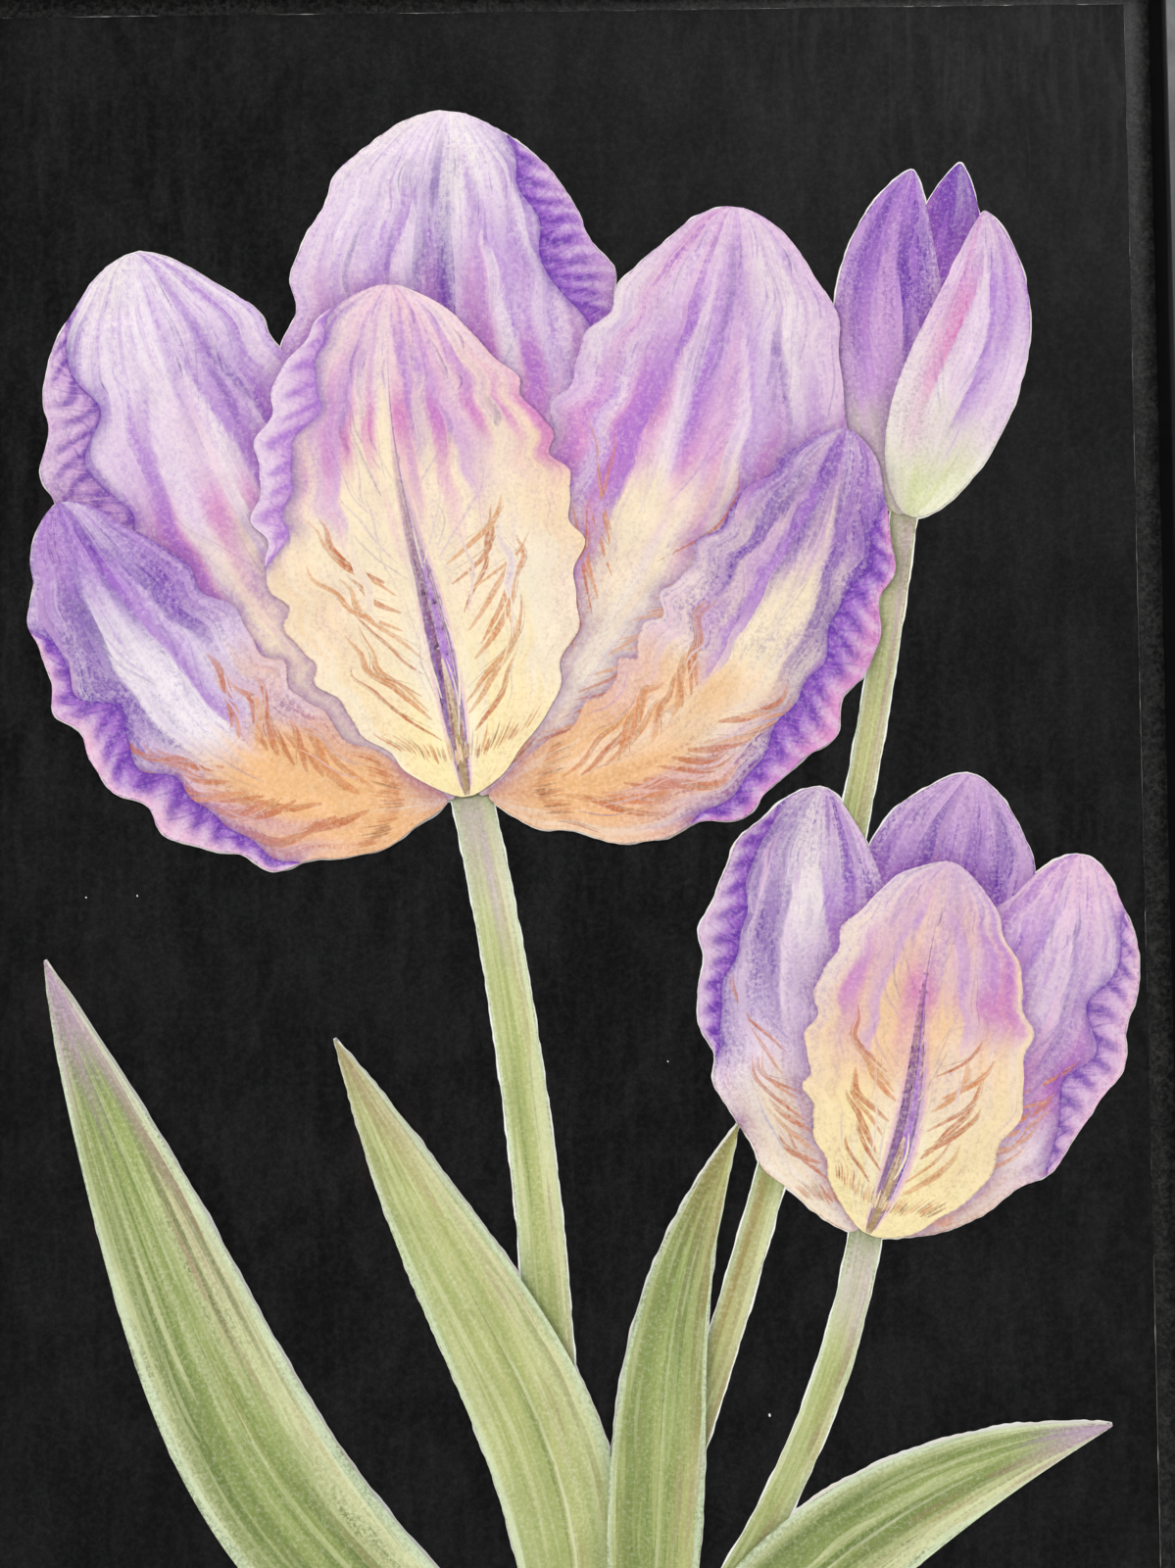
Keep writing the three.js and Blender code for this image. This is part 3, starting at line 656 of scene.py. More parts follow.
def rim_colours(form, scheme, t, u, seed):
    """The same for a turned-over rim: darkest along its inner line, in ridges that run out from it."""
    outwards = 0.5 + 0.5 * u * form.side
    along = t * form.reach
    across = outwards * form.width
    drift = ripple(across, along, 9, seed)
    ridges = np.sin(TURN * along / 5.4 + 1.1 * across / 5 + 1.3 * drift)
    light, middle, dark = scheme
    wash = mix(middle, light, smooth(0.35, 1.0, outwards + 0.15 * drift))
    wash = mix(wash, dark, 0.65 * smooth(0.0, 0.9, ridges) * smooth(0.95, 0.45, outwards))
    wash = mix(wash, MAUVE, 0.45 * smooth(0.1, 0.9, -ridges) * smooth(0.15, 0.6, outwards))
    wash = mix(wash, dark, 0.85 * np.exp(-across / 1.4))
    strength = 0.3 + 0.3 * smooth(0.0, 1.0, ridges) * (1 - outwards)
    return wash, np.broadcast_to(dark, wash.shape), np.clip(strength, 0, 1)


def green_colours(form, scheme, t, u, seed):
    """The same for a stem or leaf: pale edges, one side of the midrib darker, and streaks along it."""
    along = t * form.reach
    fanned = u * form.half
    drift = ripple(fanned, along * 0.4, 15, seed)
    streaks = ripple(fanned * 1.8, along * 0.08, 5, seed + 2)
    streaks += 0.4 * ripple(fanned * 5, along * 0.1, 5, seed + 3)
    light, middle, dark, tip = scheme
    wash = mix(light, middle, smooth(0.95, 0.3, np.abs(u + 0.08) + 0.1 * drift))
    wash = mix(wash, dark, 0.5 * smooth(0.0, 0.5, -u + 0.12 * drift) * smooth(1.0, 0.6, -u))
    warm = smooth(0.1, 0.7, u + 0.2 * drift) * smooth(1.0, 0.7, u) * smooth(0.25, 0.7, t + 0.1 * drift)
    wash = mix(wash, TAUPE, 0.5 * warm * smooth(-0.6, 0.9, streaks))
    wash = mix(wash, dark, 0.55 * smooth(0.2, 1.0, streaks))
    wash = mix(wash, light, 0.5 * smooth(0.3, 1.1, -streaks))
    wash = mix(wash, tip, 0.7 * smooth(0.76, 1.02, t + 0.06 * drift + 0.04 * streaks))
    wash = mix(wash, MINT, 0.8 * smooth(0.8, 0.94, np.abs(u) + 0.04 * drift))
    return wash, np.broadcast_to(dark, wash.shape), np.clip(0.5 + 0.2 * drift, 0, 1)


# ---- Painted films ----

BLADE_ENDS = (0.0025, 0.9985)
STEM_ENDS = (0.0, 1.0)
PAINTED_FOOT = -SHEET_HEIGHT / 2 + 0.35


def shares_along(form, rows, across):
    """Rows of shares along a form at each place across, from the sheet's lower edge to its tip."""
    low, high = STEM_ENDS if isinstance(form, Stem) else BLADE_ENDS
    tries = np.linspace(low, high, 3000)
    _, heights = form.at(tries[:, None], np.asarray(across))
    cut = (heights <= PAINTED_FOOT)[::-1]
    last = np.where(cut.any(axis=0), len(tries) - 1 - np.argmax(cut, axis=0), -1)
    low = tries[last + 1]
    plain = np.linspace(0, 1, rows)
    eased = (1 - np.cos(math.pi * plain)) / 2
    return low + (high - low) * (0.55 * eased + 0.45 * plain)[:, None]


def outline(form, steps):
    """The outline of a form, counterclockwise from its foot, as sheet places."""
    t = shares_along(form, steps, (-1.0, 1.0))
    left = np.stack(form.at(t[:, 0], -1.0), axis=-1)
    right = np.stack(form.at(t[:, 1], 1.0), axis=-1)
    return np.concatenate((right, left[::-1]))


def distance_to(lines, x, y):
    """The distance from each place to the nearest of some points."""
    tree = KDTree(len(lines))
    for i, (line_x, line_y) in enumerate(lines):
        tree.insert((line_x, line_y, 0), i)
    tree.balance()
    return np.array([tree.find((*place, 0))[2] for place in zip(x.ravel(), y.ravel())]).reshape(x.shape)


@dataclass
class Layer:
    """One wash of the motif: its form, how it is coloured and what lies over it."""

    name: str
    form: object
    scheme: object
    slot: str
    colours: object
    draw_strokes: object
    grid: tuple
    shadow: np.ndarray
    seed: int
    level: float
    over: object = None

    def colours_at(self, t, u):
        """The form's colours, darker close to the forms that lie over it."""
        wash, pencil, strength = self.colours(self.form, self.scheme, t, u, self.seed)
        if self.over is None:
            return wash, pencil, strength
        x, y = self.form.at(t, u)
        reach = 3.4 + 1.1 * ripple(x, y, 16, self.seed + 30)
        near = np.exp(-distance_to(self.over, x, y) / np.clip(reach, 1.6, 6))
        wash = mix(wash, self.shadow, 0.72 * near)
        return wash, mix(pencil, self.shadow, 0.5 * near), np.clip(strength + 0.35 * near, 0, 1)

    def grain(self, t, across):
        """Places for the streaks, in millimetres along and across, with the form's own depth."""
        along = np.broadcast_to(t * self.form.reach, across.shape)
        return np.stack((across, along, np.full(across.shape, self.seed * 3.7)), axis=-1)

    def film(self):
        """The wash as a film on the sheet, carrying its colours as point attributes."""
        rows, columns = self.grid
        across = np.sin(np.linspace(-math.pi / 2, math.pi / 2, columns))
        t = shares_along(self.form, rows, across)
        u = np.broadcast_to(across, t.shape)
        wash, pencil, strength = self.colours_at(t, u)
        rim = np.minimum((1 - np.abs(u)) * self.form.half_width(t, u), (1 - t) * self.form.reach)
        points = film_points(*self.form.at(t, u), self.level)
        return new_piece(f"{self.name}_wash", points, film_faces(*t.shape), wash=rgba(wash),
                         pencil=rgba(pencil, strength), grain=self.grain(t, u * self.form.half),
                         rim=rim[..., None])


# ---- Single strokes of the pencil and the fine brush ----

STROKE_STEPS = 14
STROKE_COLUMNS = np.array((-1.0, -0.7, 0.0, 0.7, 1.0))
PENCIL_LOADS = (0.1, 0.75, 1.0, 0.75, 0.1)
BRUSH_LOADS = (0.45, 0.95, 1.0, 0.95, 0.45)
COVER_LOADS = (0.85, 1.0, 1.0, 1.0, 0.85)
FAR_FROM_RIM = 9.0


class StrokeLot:
    """Tapered strokes over one form, gathered into one mesh with its own point colours."""

    def __init__(self, layer):
        self.layer = layer
        self.draw = np.random.default_rng(layer.seed * 7 + 11)
        self.pick = self.draw.uniform
        self.strokes = []

    def one_of(self, tints):
        return tints[self.draw.integers(len(tints))]

    def stroke(self, start, end, bend, width, tint, density, fade=0.35, loads=PENCIL_LOADS):
        """One stroke between two (t, u) places, bent sideways, in a tint laid thinly over the wash."""
        self.strokes.append((*start, *end, bend, width, density, fade, tint, loads))

    def gentle_stroke(self, start, end, widths, tints, densities):
        """One stroke with a slight bend outwards, its tint, width and density drawn at random."""
        tint = self.one_of(tints)
        bend = self.pick(0.0, 0.05) * (1 if start[1] > 0 else -1)
        self.stroke(start, end, bend, self.pick(*widths), tint, self.pick(*densities))

    def feather(self, count, side, *look):
        """Strokes that leave the middle and sweep up towards one edge."""
        for _ in range(count):
            t = self.pick(0.35, 0.8)
            u = side * self.pick(0.02, 0.2)
            end_t = t + 0.2 * self.pick(0.6, 1.2)
            self.gentle_stroke((t, u), (end_t, u + side * 0.4 * self.pick(0.5, 1.2)), *look)

    def fringe(self, count, from_t, to_t, from_u, to_u, length, *look):
        """Short strokes side by side, along the form."""
        for _ in range(count):
            u = self.pick(from_u, to_u)
            t = self.pick(from_t, to_t)
            end_t = t + length * self.pick(0.5, 1.3)
            self.gentle_stroke((t, u), (end_t, u * self.pick(0.98, 1.12)), *look)

    def build(self):
        """All strokes as one mesh, each a hair above the one before."""
        layer = self.layer
        *facts, tints, loads = zip(*self.strokes)
        from_t, from_u, to_t, to_u, bend, width, density, fade = np.array(facts)[..., None]
        s = np.linspace(0, 1, STROKE_STEPS)
        t = np.clip(from_t + (to_t - from_t) * s, BLADE_ENDS[0] * 2, BLADE_ENDS[1] - 0.003)
        u = np.clip(from_u + (to_u - from_u) * s + bend * np.sin(math.pi * s), -0.985, 0.985)
        line = np.stack(layer.form.at(t, u), axis=-1)
        moving = np.linalg.norm(np.diff(line, axis=1), axis=-1).min(axis=1) > 0.02
        along = np.gradient(line, axis=1)
        along /= np.maximum(np.linalg.norm(along, axis=-1, keepdims=True), 1e-9)
        right = np.stack((along[..., 1], -along[..., 0]), axis=-1)
        taper = np.sin(math.pi * (0.05 + 0.9 * s)) ** 0.65 * (1 - fade * s)
        out = STROKE_COLUMNS * (width / 2 * taper)[..., None]
        flat = (line[:, :, None, :] + right[:, :, None, :] * out[..., None])[moving]
        x = flat[..., 0]
        y = np.maximum(flat[..., 1], PAINTED_FOOT)

        load = density * np.sin(math.pi * (0.1 + 0.82 * s)) ** 0.5 * (1 - fade * s)
        load = np.clip(load[..., None] * np.array(loads)[:, None, :], 0, 1)
        tint = np.array(tints)[:, None, None, :]
        under = layer.colours_at(t, u)[0][:, :, None, :]
        wash = under + (tint - under) * 0.85 * load[..., None]
        pencil = rgba(np.broadcast_to(tint, wash.shape), load)
        grain = layer.grain(t[..., None], u[..., None] * layer.form.half + out)

        count = len(flat)
        level = layer.level + FILM + 0.1 * LAYER + 0.5 * LAYER * np.arange(count)[:, None, None] / count
        points = film_points(x, y, level, 0.15 * FILM, count)
        one = film_faces(STROKE_STEPS, len(STROKE_COLUMNS))
        faces = (one + np.arange(count)[:, None, None] * (len(points) // count)).reshape(-1, 4)
        return new_piece(f"{layer.name}_strokes", points, faces, count, wash=rgba(wash[moving]),
                         pencil=pencil[moving], grain=grain[moving],
                         rim=np.full((*x.shape, 1), FAR_FROM_RIM))


def draw_hatching(lot, count, widths):
    """Bold curved hatching in brown and orange that climbs both sides of the midrib at a petal's foot."""
    for side in (-1, 1):
        for i in range(count):
            t = 0.1 + (0.46 - 0.1) * ((i + lot.pick(0.2, 0.8)) / count)
            u = side * lot.pick(0.12, 0.3)
            end = (t + lot.pick(0.08, 0.2), u + side * lot.pick(0.25, 0.5))
            bend = side * lot.pick(0.05, 0.14)
            tint = lot.one_of((ORANGE, RUST, RUST, SAND))
            lot.stroke((t, u), end, bend, lot.pick(*widths), tint, lot.pick(0.75, 1.0), 0.25, BRUSH_LOADS)
            inner = (t + 0.025, u * 1.15)
            lot.stroke(inner, end, bend * 1.3, 0.4 * widths[0], BROWN, lot.pick(0.35, 0.7), 0.3)


def draw_midrib(lot):
    """A long midrib in several passes, widest at the foot, from brown through plum to violet."""
    for u, width, foot, top, tint, density, loads in (
        (0.0, 11.0, 0.02, 0.7, ROSE, 0.8, BRUSH_LOADS),
        (0.0, 8.6, 0.02, 0.72, ORCHID, 1.1, COVER_LOADS),
        (-0.01, 6.8, 0.02, 0.68, PLUM, 1.3, COVER_LOADS),
        (0.015, 3.0, 0.05, 0.62, VIOLET, 1.3, COVER_LOADS),
        (0.0, 4.6, 0.0, 0.27, mix(BROWN, PLUM, 0.45), 1.3, COVER_LOADS),
        (0.0, 2.2, 0.0, 0.22, mix(OLIVE, BROWN, 0.3), 1.3, COVER_LOADS),
        (-0.05, 0.8, 0.03, 0.66, INDIGO, 1.2, COVER_LOADS),
        (0.055, 0.7, 0.03, 0.6, INDIGO, 1.1, COVER_LOADS),
        (0.0, 0.9, 0.3, 0.9, INDIGO, 1.0, BRUSH_LOADS),
    ):
        lot.stroke((foot, u * 2), (top, u * 0.4), 0.01, width, tint, density, 0.6, loads)


def draw_comb(lot, count):
    """Short strokes side by side that climb from a line across the petal's foot."""
    for i in range(count):
        u = -0.86 + 1.72 * (i + lot.pick(0.2, 0.8)) / count
        low = 0.07 + 0.05 * u * u + lot.pick(-0.006, 0.006)
        high = low + 0.05 * lot.pick(0.5, 1.2)
        tint = lot.one_of((ORANGE, RUST, BROWN))
        lot.stroke((low, u), (high, u * 1.04), 0.0, lot.pick(0.5, 1.1), tint, lot.pick(0.45, 0.9), 0.4,
                   BRUSH_LOADS)


def draw_petal_strokes(layer):
    """Hatching at the foot, feathered veins above it and pencil lines running to the tip."""
    lot = StrokeLot(layer)
    size = layer.form.reach / 130
    cool = (layer.scheme.pencils[1], INDIGO, VIOLET)
    soft = (VIOLET, ORCHID, ROSE)
    if layer.scheme.midrib:
        draw_midrib(lot)
    if layer.scheme.hatch:
        draw_hatching(lot, round(11 * size), layer.scheme.hatch)
        draw_comb(lot, 34)
    for side in (-1, 1):
        lot.feather(round(9 * size), side, (0.5, 1.4), cool, (0.12, 0.4))
    lot.fringe(round(10 * size), 0.3, 0.8, -0.9, 0.9, 0.2, (1.6, 3.4), soft, (0.15, 0.4))
    lot.fringe(round(9 * size), 0.66, 0.84, -0.8, 0.8, 0.14, (1.6, 3.6), cool, (0.2, 0.5))
    lot.fringe(round(30 * size), 0.12, 0.84, -0.92, 0.92, 0.14, (0.4, 1.0), cool, (0.12, 0.4))
    lot.fringe(round(26 * size), 0.78, 0.93, -0.85, 0.85, 0.07, (0.5, 1.3), cool, (0.25, 0.65))
    return lot.build()


def draw_rim_strokes(layer):
    """Dark ridges that start at the rim's inner line and fade on their way out."""
    lot = StrokeLot(layer)
    side = layer.form.side
    _, middle, dark = layer.scheme
    count = round(layer.form.reach / 3.3)
    for i in range(count):
        t = (i + lot.pick(0.25, 0.75)) / count
        end = (t + lot.pick(0.03, 0.09), side * lot.pick(0.1, 0.8))
        lot.stroke((t, -side * 0.94), end, 0.0, lot.pick(0.7, 1.6), dark, lot.pick(0.4, 0.85), 0.55)
    for _ in range(count):
        t = lot.pick(0.1, 0.9)
        lot.stroke((t, -side * 0.9), (t + 0.04, side * 0.5), 0.0, lot.pick(0.4, 0.9), middle, 0.5)
    return lot.build()


def draw_green_strokes(layer):
    """The midrib, and long fine veins along a stem or leaf."""
    lot = StrokeLot(layer)
    light, _, dark, _ = layer.scheme
    low = float(shares_along(layer.form, 2, (0.0,))[0, 0])
    if not isinstance(layer.form, Stem):
        lot.stroke((low + 0.01, -0.02), (0.93, 0.0), 0.0, 1.7, DARK_GREEN, 0.6, 0.6)
        lot.stroke((low + 0.01, 0.08), (0.9, 0.05), 0.0, 1.3, mix(light, PAPER, 0.4), 0.55, 0.6)
    lot.fringe(46, low, 0.82, -0.9, 0.9, 0.2, (0.5, 1.3), (dark, DARK_GREEN, OLIVE), (0.12, 0.42))
    lot.fringe(26, low, 0.82, -0.9, 0.9, 0.2, (0.8, 1.9), (light, PALE_GREEN), (0.15, 0.45))
    lot.fringe(16, low, 0.78, 0.1, 0.85, 0.14, (0.8, 2.2), (OLIVE, TAUPE), (0.2, 0.5))
    return lot.build()


# ---- The motif, from the back of the picture to the front ----

# How each kind of form is coloured and stroked, its grid and the tint of shadows on it.
PETAL = (petal_colours, draw_petal_strokes, (160, 112), DUSK)
RIM = (rim_colours, draw_rim_strokes, (110, 26), DUSK)
STEM = (green_colours, draw_green_strokes, (130, 24), DARK_GREEN)
LEAF = (green_colours, draw_green_strokes, (160, 112), DARK_GREEN)

STEM_FOOT = -SHEET_HEIGHT / 2 - 2
LEAF_FOOT = -SHEET_HEIGHT / 2 - 15

layers = []


def add_layer(name, form, scheme, slot, kind):
    """Adds a wash in front of what is there already."""
    i = len(layers)
    layers.append(Layer(name, form, scheme, slot, *kind, i + 1, FIRST_WASH_LEVEL + 2 * LAYER * i))


@dataclass
class Head:
    """A flower head, turned by its tilt in degrees about its base."""

    name: str
    base: tuple
    tilt: float

    def petal(self, name, form, washes, pencils, rim=None, tones=None, start=0, **scheme):
        """Adds a petal that starts aside of the base, and its turned-over rim if it has one.

        The form is a row of what a Blade has after its base, and the rim of what a Rim has after its
        petal. The tones of a rim are its light, middle and dark ones.
        """
        name = f"{self.name}_{name}"
        turn = -math.radians(self.tilt)
        foot = (self.base[0] + start * math.cos(turn), self.base[1] + start * math.sin(turn))
        lean, *others = form
        form = Blade(foot, lean + self.tilt, *others)
        slot = "cream_wash" if "front_petal" in name else "lilac_wash"
        add_layer(name, form, Scheme(washes, pencils, **scheme), slot, PETAL)
        if rim:
            form.rim = Rim(form, *rim)
            add_layer(f"{name}_rim", form.rim, tones, "lilac_wash", RIM)


# Stems: lean, reach and bow, then half their width at the foot and at the top; and four greens for
# the edge, body, dark side and tip.
for name, x, facts, greens in (
    ("bud_stem", 10, (15.2, 302, 9, 4.6, 3.4), (PALE_GREEN, STEM_GREEN, OLIVE, LILAC)),
    ("half_open_tulip_stem", 26, (24.6, 121, 8, 5, 4.2), (PALE_GREEN, STEM_GREEN, LEAF_GREEN, MAUVE)),
    ("open_tulip_stem", -4, (-5.2, 225, 7, 6.4, 5.2), (PALE_GREEN, STEM_GREEN, LEAF_GREEN, LILAC)),
):
    add_layer(name, Stem((x, STEM_FOOT), *facts), greens, "green_wash", STEM)

bud = Head("bud", (89, 77), 8)
bud.petal(
    "back_petal", (2, 93, 12, 0.8, 0.75), (STEM_GREEN, VIOLET, INDIGO, VIOLET), (LEAF_GREEN, INDIGO),
    pencil=0.45, lifted=0.3)
bud.petal(
    "left_petal", (-5, 90, 15, 0.66, 0.75, 0, -4, 1.5), (PALE_GREEN, ORCHID, VIOLET, MAUVE),
    (LEAF_GREEN, INDIGO), start=-1, pencil=0.42, turn=(0.05, 0.4), shade=(1, VIOLET, 0.7),
    streak=(INDIGO, 0.6, 0.35, 0.75), creases=((0.25, 0.15, 0.96, 0.02, 3.5, INDIGO, 0.75, 0.12),
    (0.3, -0.4, 0.92, -0.12, 3, VIOLET, 0.6, 0.1)))
bud.petal(
    "right_petal", (7, 82, 15, 0.58, 0.75, 0, 5, -1.5), (PALE_GREEN, MAUVE, LILAC, MAUVE),
    (LEAF_GREEN, VIOLET), start=1, pencil=0.38, turn=(0.05, 0.42), shade=(-1, ROSE, 0.6),
    streak=(VIOLET, 0.6, 0.35, 0.75), creases=((0.25, 0.1, 0.95, 0.02, 3.5, VIOLET, 0.8, 0.14),
    (0.3, -0.4, 0.9, -0.1, 4, MAGENTA, 0.6, 0.1)))

half_open_tulip = Head("half_open_tulip", (76, -106), 12)
half_open_tulip.petal(
    "back_petal", (2, 120, 26, 0.9, 0.62, 0, 0, 0, 1, 6), (ORCHID, VIOLET, LILAC, VIOLET), (VIOLET, INDIGO),
    pencil=0.45, lifted=0.35, streak=(INDIGO, 0.6, 0.35, 0.75),
    creases=((0.4, 0.25, 0.95, 0.06, 5, INDIGO, 0.7, 0.06), (0.4, -0.3, 0.92, -0.1, 5, INDIGO, 0.7, 0.06)))
half_open_tulip.petal(
    "left_petal", (-15, 113, 25, 0.8, 0.64, -0.06, -9, 0, 1, 6, 1), (CREAM, MAUVE, LILAC, MAUVE),
    (ORANGE, INDIGO), start=-3, rim=(-1, 0.42, 0.94, 9, 2.5, 0), tones=(LILAC, VIOLET, INDIGO), pencil=0.38,
    turn=(0.15, 0.5), shade=(1, VIOLET, 0.5), streak=(INDIGO, 0.45, 0.35, 0.75), hatch=(0.9, 1.9),
    creases=((0.3, 0.35, 0.94, 0.06, 6, VIOLET, 0.8, 0.12), (0.4, -0.2, 0.88, -0.06, 4, INDIGO, 0.5, 0.1)))
half_open_tulip.petal(
    "right_petal", (17, 110, 24, 0.8, 0.62, 0, 10, 0, 1, 6, 2), (CREAM, MAUVE, PINK, MAUVE),
    (ORANGE, VIOLET), start=3, rim=(1, 0.33, 0.9, 10, 3, 2), tones=(PINK, ORCHID, INDIGO), pencil=0.35,
    turn=(0.15, 0.5), shade=(-1, VIOLET, 0.5), blush=(MAGENTA, 0.55, 0.1), hatch=(0.9, 1.9),
    creases=((0.35, -0.35, 0.94, -0.06, 6, VIOLET, 0.75, 0.12),
    (0.45, 0.2, 0.9, 0.05, 4, INDIGO, 0.5, 0.1)))
half_open_tulip.petal(
    "front_petal", (2, 97, 28, 0.62, 0.64, 0, 2, 2, 1.1, 7, 5), (YELLOW, APRICOT, LILAC, CREAM),
    (BROWN, VIOLET), pencil=0.28, turn=(0.1, 0.5), tip=0.9, lifted=0.45, blush=(MAGENTA, 0.66, 0.1),
    streak=(VIOLET, 0.55, 0.5, 0.88), hatch=(0.9, 2.1), midrib=True,
    creases=((0.45, 0.4, 0.95, 0.08, 5, ORCHID, 0.8, 0.1), (0.42, -0.42, 0.95, -0.1, 5, ORCHID, 0.8, 0.1)))

open_tulip = Head("open_tulip", (-24, 6), -5)
open_tulip.petal(
    "back_petal", (4, 178, 44, 0.9, 0.58, 0.06, 0, 3, 1.5, 8), (ROSE, MAUVE, PEARL, LILAC), (ROSE, VIOLET),
    rim=(1, 0.6, 0.97, 15, 2.5, 1), tones=(ORCHID, VIOLET, INDIGO), tip=0.7,
    flame=(INDIGO, 0.12, 0.5, 0.99), blush=(MAGENTA, 0.58, 0.16),
    creases=((0.5, 0.45, 0.95, 0.12, 6, VIOLET, 0.7, 0.08), (0.5, -0.5, 0.93, -0.16, 7, VIOLET, 0.65, 0.08),
    (0.62, -0.2, 0.98, -0.04, 3, INDIGO, 0.55, 0)))
open_tulip.petal(
    "left_petal", (-25, 164, 38, 0.9, 0.62, -0.1, -12, 0, 1.5, 7, 1), (CREAM, MAUVE, PEARL, LILAC),
    (ROSE, VIOLET), start=-3, rim=(-1, 0.4, 0.93, 15, 3, 0), tones=(LILAC, ORCHID, INDIGO), pencil=0.35,
    turn=(0.4, 0.62), shade=(1, VIOLET, 0.5), blush=(MAGENTA, 0.56, 0.12),
    creases=((0.2, 0.3, 0.92, 0.05, 8, VIOLET, 0.8, 0.12), (0.3, -0.35, 0.86, -0.15, 5, VIOLET, 0.6, 0.1),
    (0.5, 0.62, 0.9, 0.3, 4, INDIGO, 0.5, 0.05)))
open_tulip.petal(
    "right_petal", (29, 166, 37, 0.9, 0.6, 0.08, 13, 0, 1.5, 8, 2), (CREAM, MAUVE, LILAC, LILAC),
    (ORANGE, VIOLET), start=3, turn=(0.45, 0.66), shade=(-1, ROSE, 0.6), flame=(VIOLET, 0.1, 0.55, 0.98),
    blush=(MAGENTA, 0.6, 0.12), hatch=(0.8, 1.6), creases=((0.4, -0.3, 0.93, -0.06, 8, VIOLET, 0.8, 0.12),
    (0.45, 0.42, 0.9, 0.14, 6, VIOLET, 0.7, 0.1), (0.55, 0.7, 0.86, 0.4, 3, INDIGO, 0.45, 0.05)))
open_tulip.petal(
    "left_fall", (-47, 126, 26, 0.75, 0.62, 0, -24, -3, 1.5, 7, 3), (AMBER, PEARL, VIOLET, LILAC),
    (ORANGE, INDIGO), start=-5, rim=(-1, 0.22, 0.82, 11, 3, 2), tones=(PINK, VIOLET, INDIGO), pencil=0.42,
    turn=(0.3, 0.6), tip=0.85, lifted=0.4, shade=(-1, ORCHID, 0.45), streak=(INDIGO, 0.7, 0.5, 0.85),
    hatch=(1.7, 3.4), creases=((0.35, 0.2, 0.97, 0.04, 6, VIOLET, 0.8, 0.12),
    (0.45, -0.25, 0.95, -0.1, 5, INDIGO, 0.6, 0.12), (0.6, 0.55, 0.95, 0.2, 4, INDIGO, 0.6, 0.08)))
open_tulip.petal(
    "right_fall", (50, 132, 27, 0.75, 0.62, 0, 25, 3, 1.5, 8, 4), (AMBER, CREAM, VIOLET, LILAC),
    (ORANGE, INDIGO), start=5, rim=(1, 0.28, 0.9, 12, 3.5, 0), tones=(ROSE, VIOLET, INDIGO), pencil=0.42,
    turn=(0.25, 0.6), tip=0.85, lifted=0.4, shade=(1, ORCHID, 0.45), streak=(INDIGO, 0.65, 0.5, 0.85),
    hatch=(1.7, 3.4), creases=((0.4, -0.2, 0.97, -0.04, 6, VIOLET, 0.8, 0.12),
    (0.5, 0.3, 0.95, 0.1, 5, INDIGO, 0.6, 0.1), (0.6, -0.6, 0.93, -0.25, 4, INDIGO, 0.6, 0.08)))
open_tulip.petal(
    "front_petal", (-3, 134, 40, 0.7, 0.62, 0.05, -4, 2, 1.5, 9, 5), (YELLOW, CREAM, PINK, APRICOT),
    (ORANGE, VIOLET), rim=(-1, 0.52, 0.95, 11, 2, 0), tones=(MAUVE, ORCHID, VIOLET), pencil=0.24,
    turn=(0.05, 0.4), sides=0.55, tip=0.85, lifted=0.45, blush=(MAGENTA, 0.72, 0.1),
    streak=(VIOLET, 0.5, 0.6, 0.92), hatch=(0.9, 2.2), midrib=True,
    creases=((0.52, 0.4, 0.95, 0.08, 6, ORCHID, 0.8, 0.12), (0.5, -0.42, 0.95, -0.1, 6, ORCHID, 0.8, 0.12),
    (0.62, 0.14, 0.97, 0.02, 3, VIOLET, 0.6, 0.04)))

# Leaves: lean, reach, half width, bow and sway, and four greens each as above.
for name, x, (lean, reach, half, bow, sway), greens in (
    ("left_leaf", -8, (-33, 228, 19, -22, -5), (PALE_GREEN, LEAF_GREEN, DARK_GREEN, ORCHID)),
    ("right_leaf", 28, (57, 130, 15, -12, 0), (PALE_GREEN, LEAF_GREEN, DARK_GREEN, ORCHID)),
    ("tall_leaf", 0, (-19, 180, 15, 14, 4), (PALE_GREEN, STEM_GREEN, LEAF_GREEN, TAUPE)),
    ("short_leaf", 18, (10, 150, 12, -8, 2), (STEM_GREEN, LEAF_GREEN, DARK_GREEN, OLIVE)),
):
    form = Blade((x, LEAF_FOOT), lean, reach, half, foot=0.5, crown=0.92, bow=bow, sway=sway)
    add_layer(name, form, greens, "green_wash", LEAF)


def make_motif(material):
    """Every wash with its strokes; gives the outlines of them all."""
    outlines = [outline(layer.form, 90) for layer in layers]
    for i, layer in enumerate(layers):
        later = zip(outlines[i + 1:], layers[i + 1:])
        over = [line for line, other in later if other.form is not layer.form.rim]
        layer.over = np.concatenate(over) if over else None
        # The wash's own CAD node, and any further bodies that later washes cut it into.
        nodes = [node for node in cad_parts
                 if node == layer.name or node[:-2] == layer.name and node[-1].isdigit()]
        placed(layer.film(), layer.slot, material, *sorted(nodes))
        placed(layer.draw_strokes(layer), layer.slot, material)
    return np.concatenate(outlines)


# ---- The sheet and its black ground ----

SHEET_STEP = 3.0
GROUND_STEP = 1.8
FLECKS = 11
FLECK_SIDES = 8


def sheet_grid(step):
    """Places all over the sheet, as shares of half its width and half its height."""
    columns = round(SHEET_WIDTH / step) + 1
    rows = round(SHEET_HEIGHT / step) + 1
    return np.meshgrid(np.linspace(-1, 1, columns), np.linspace(-1, 1, rows))


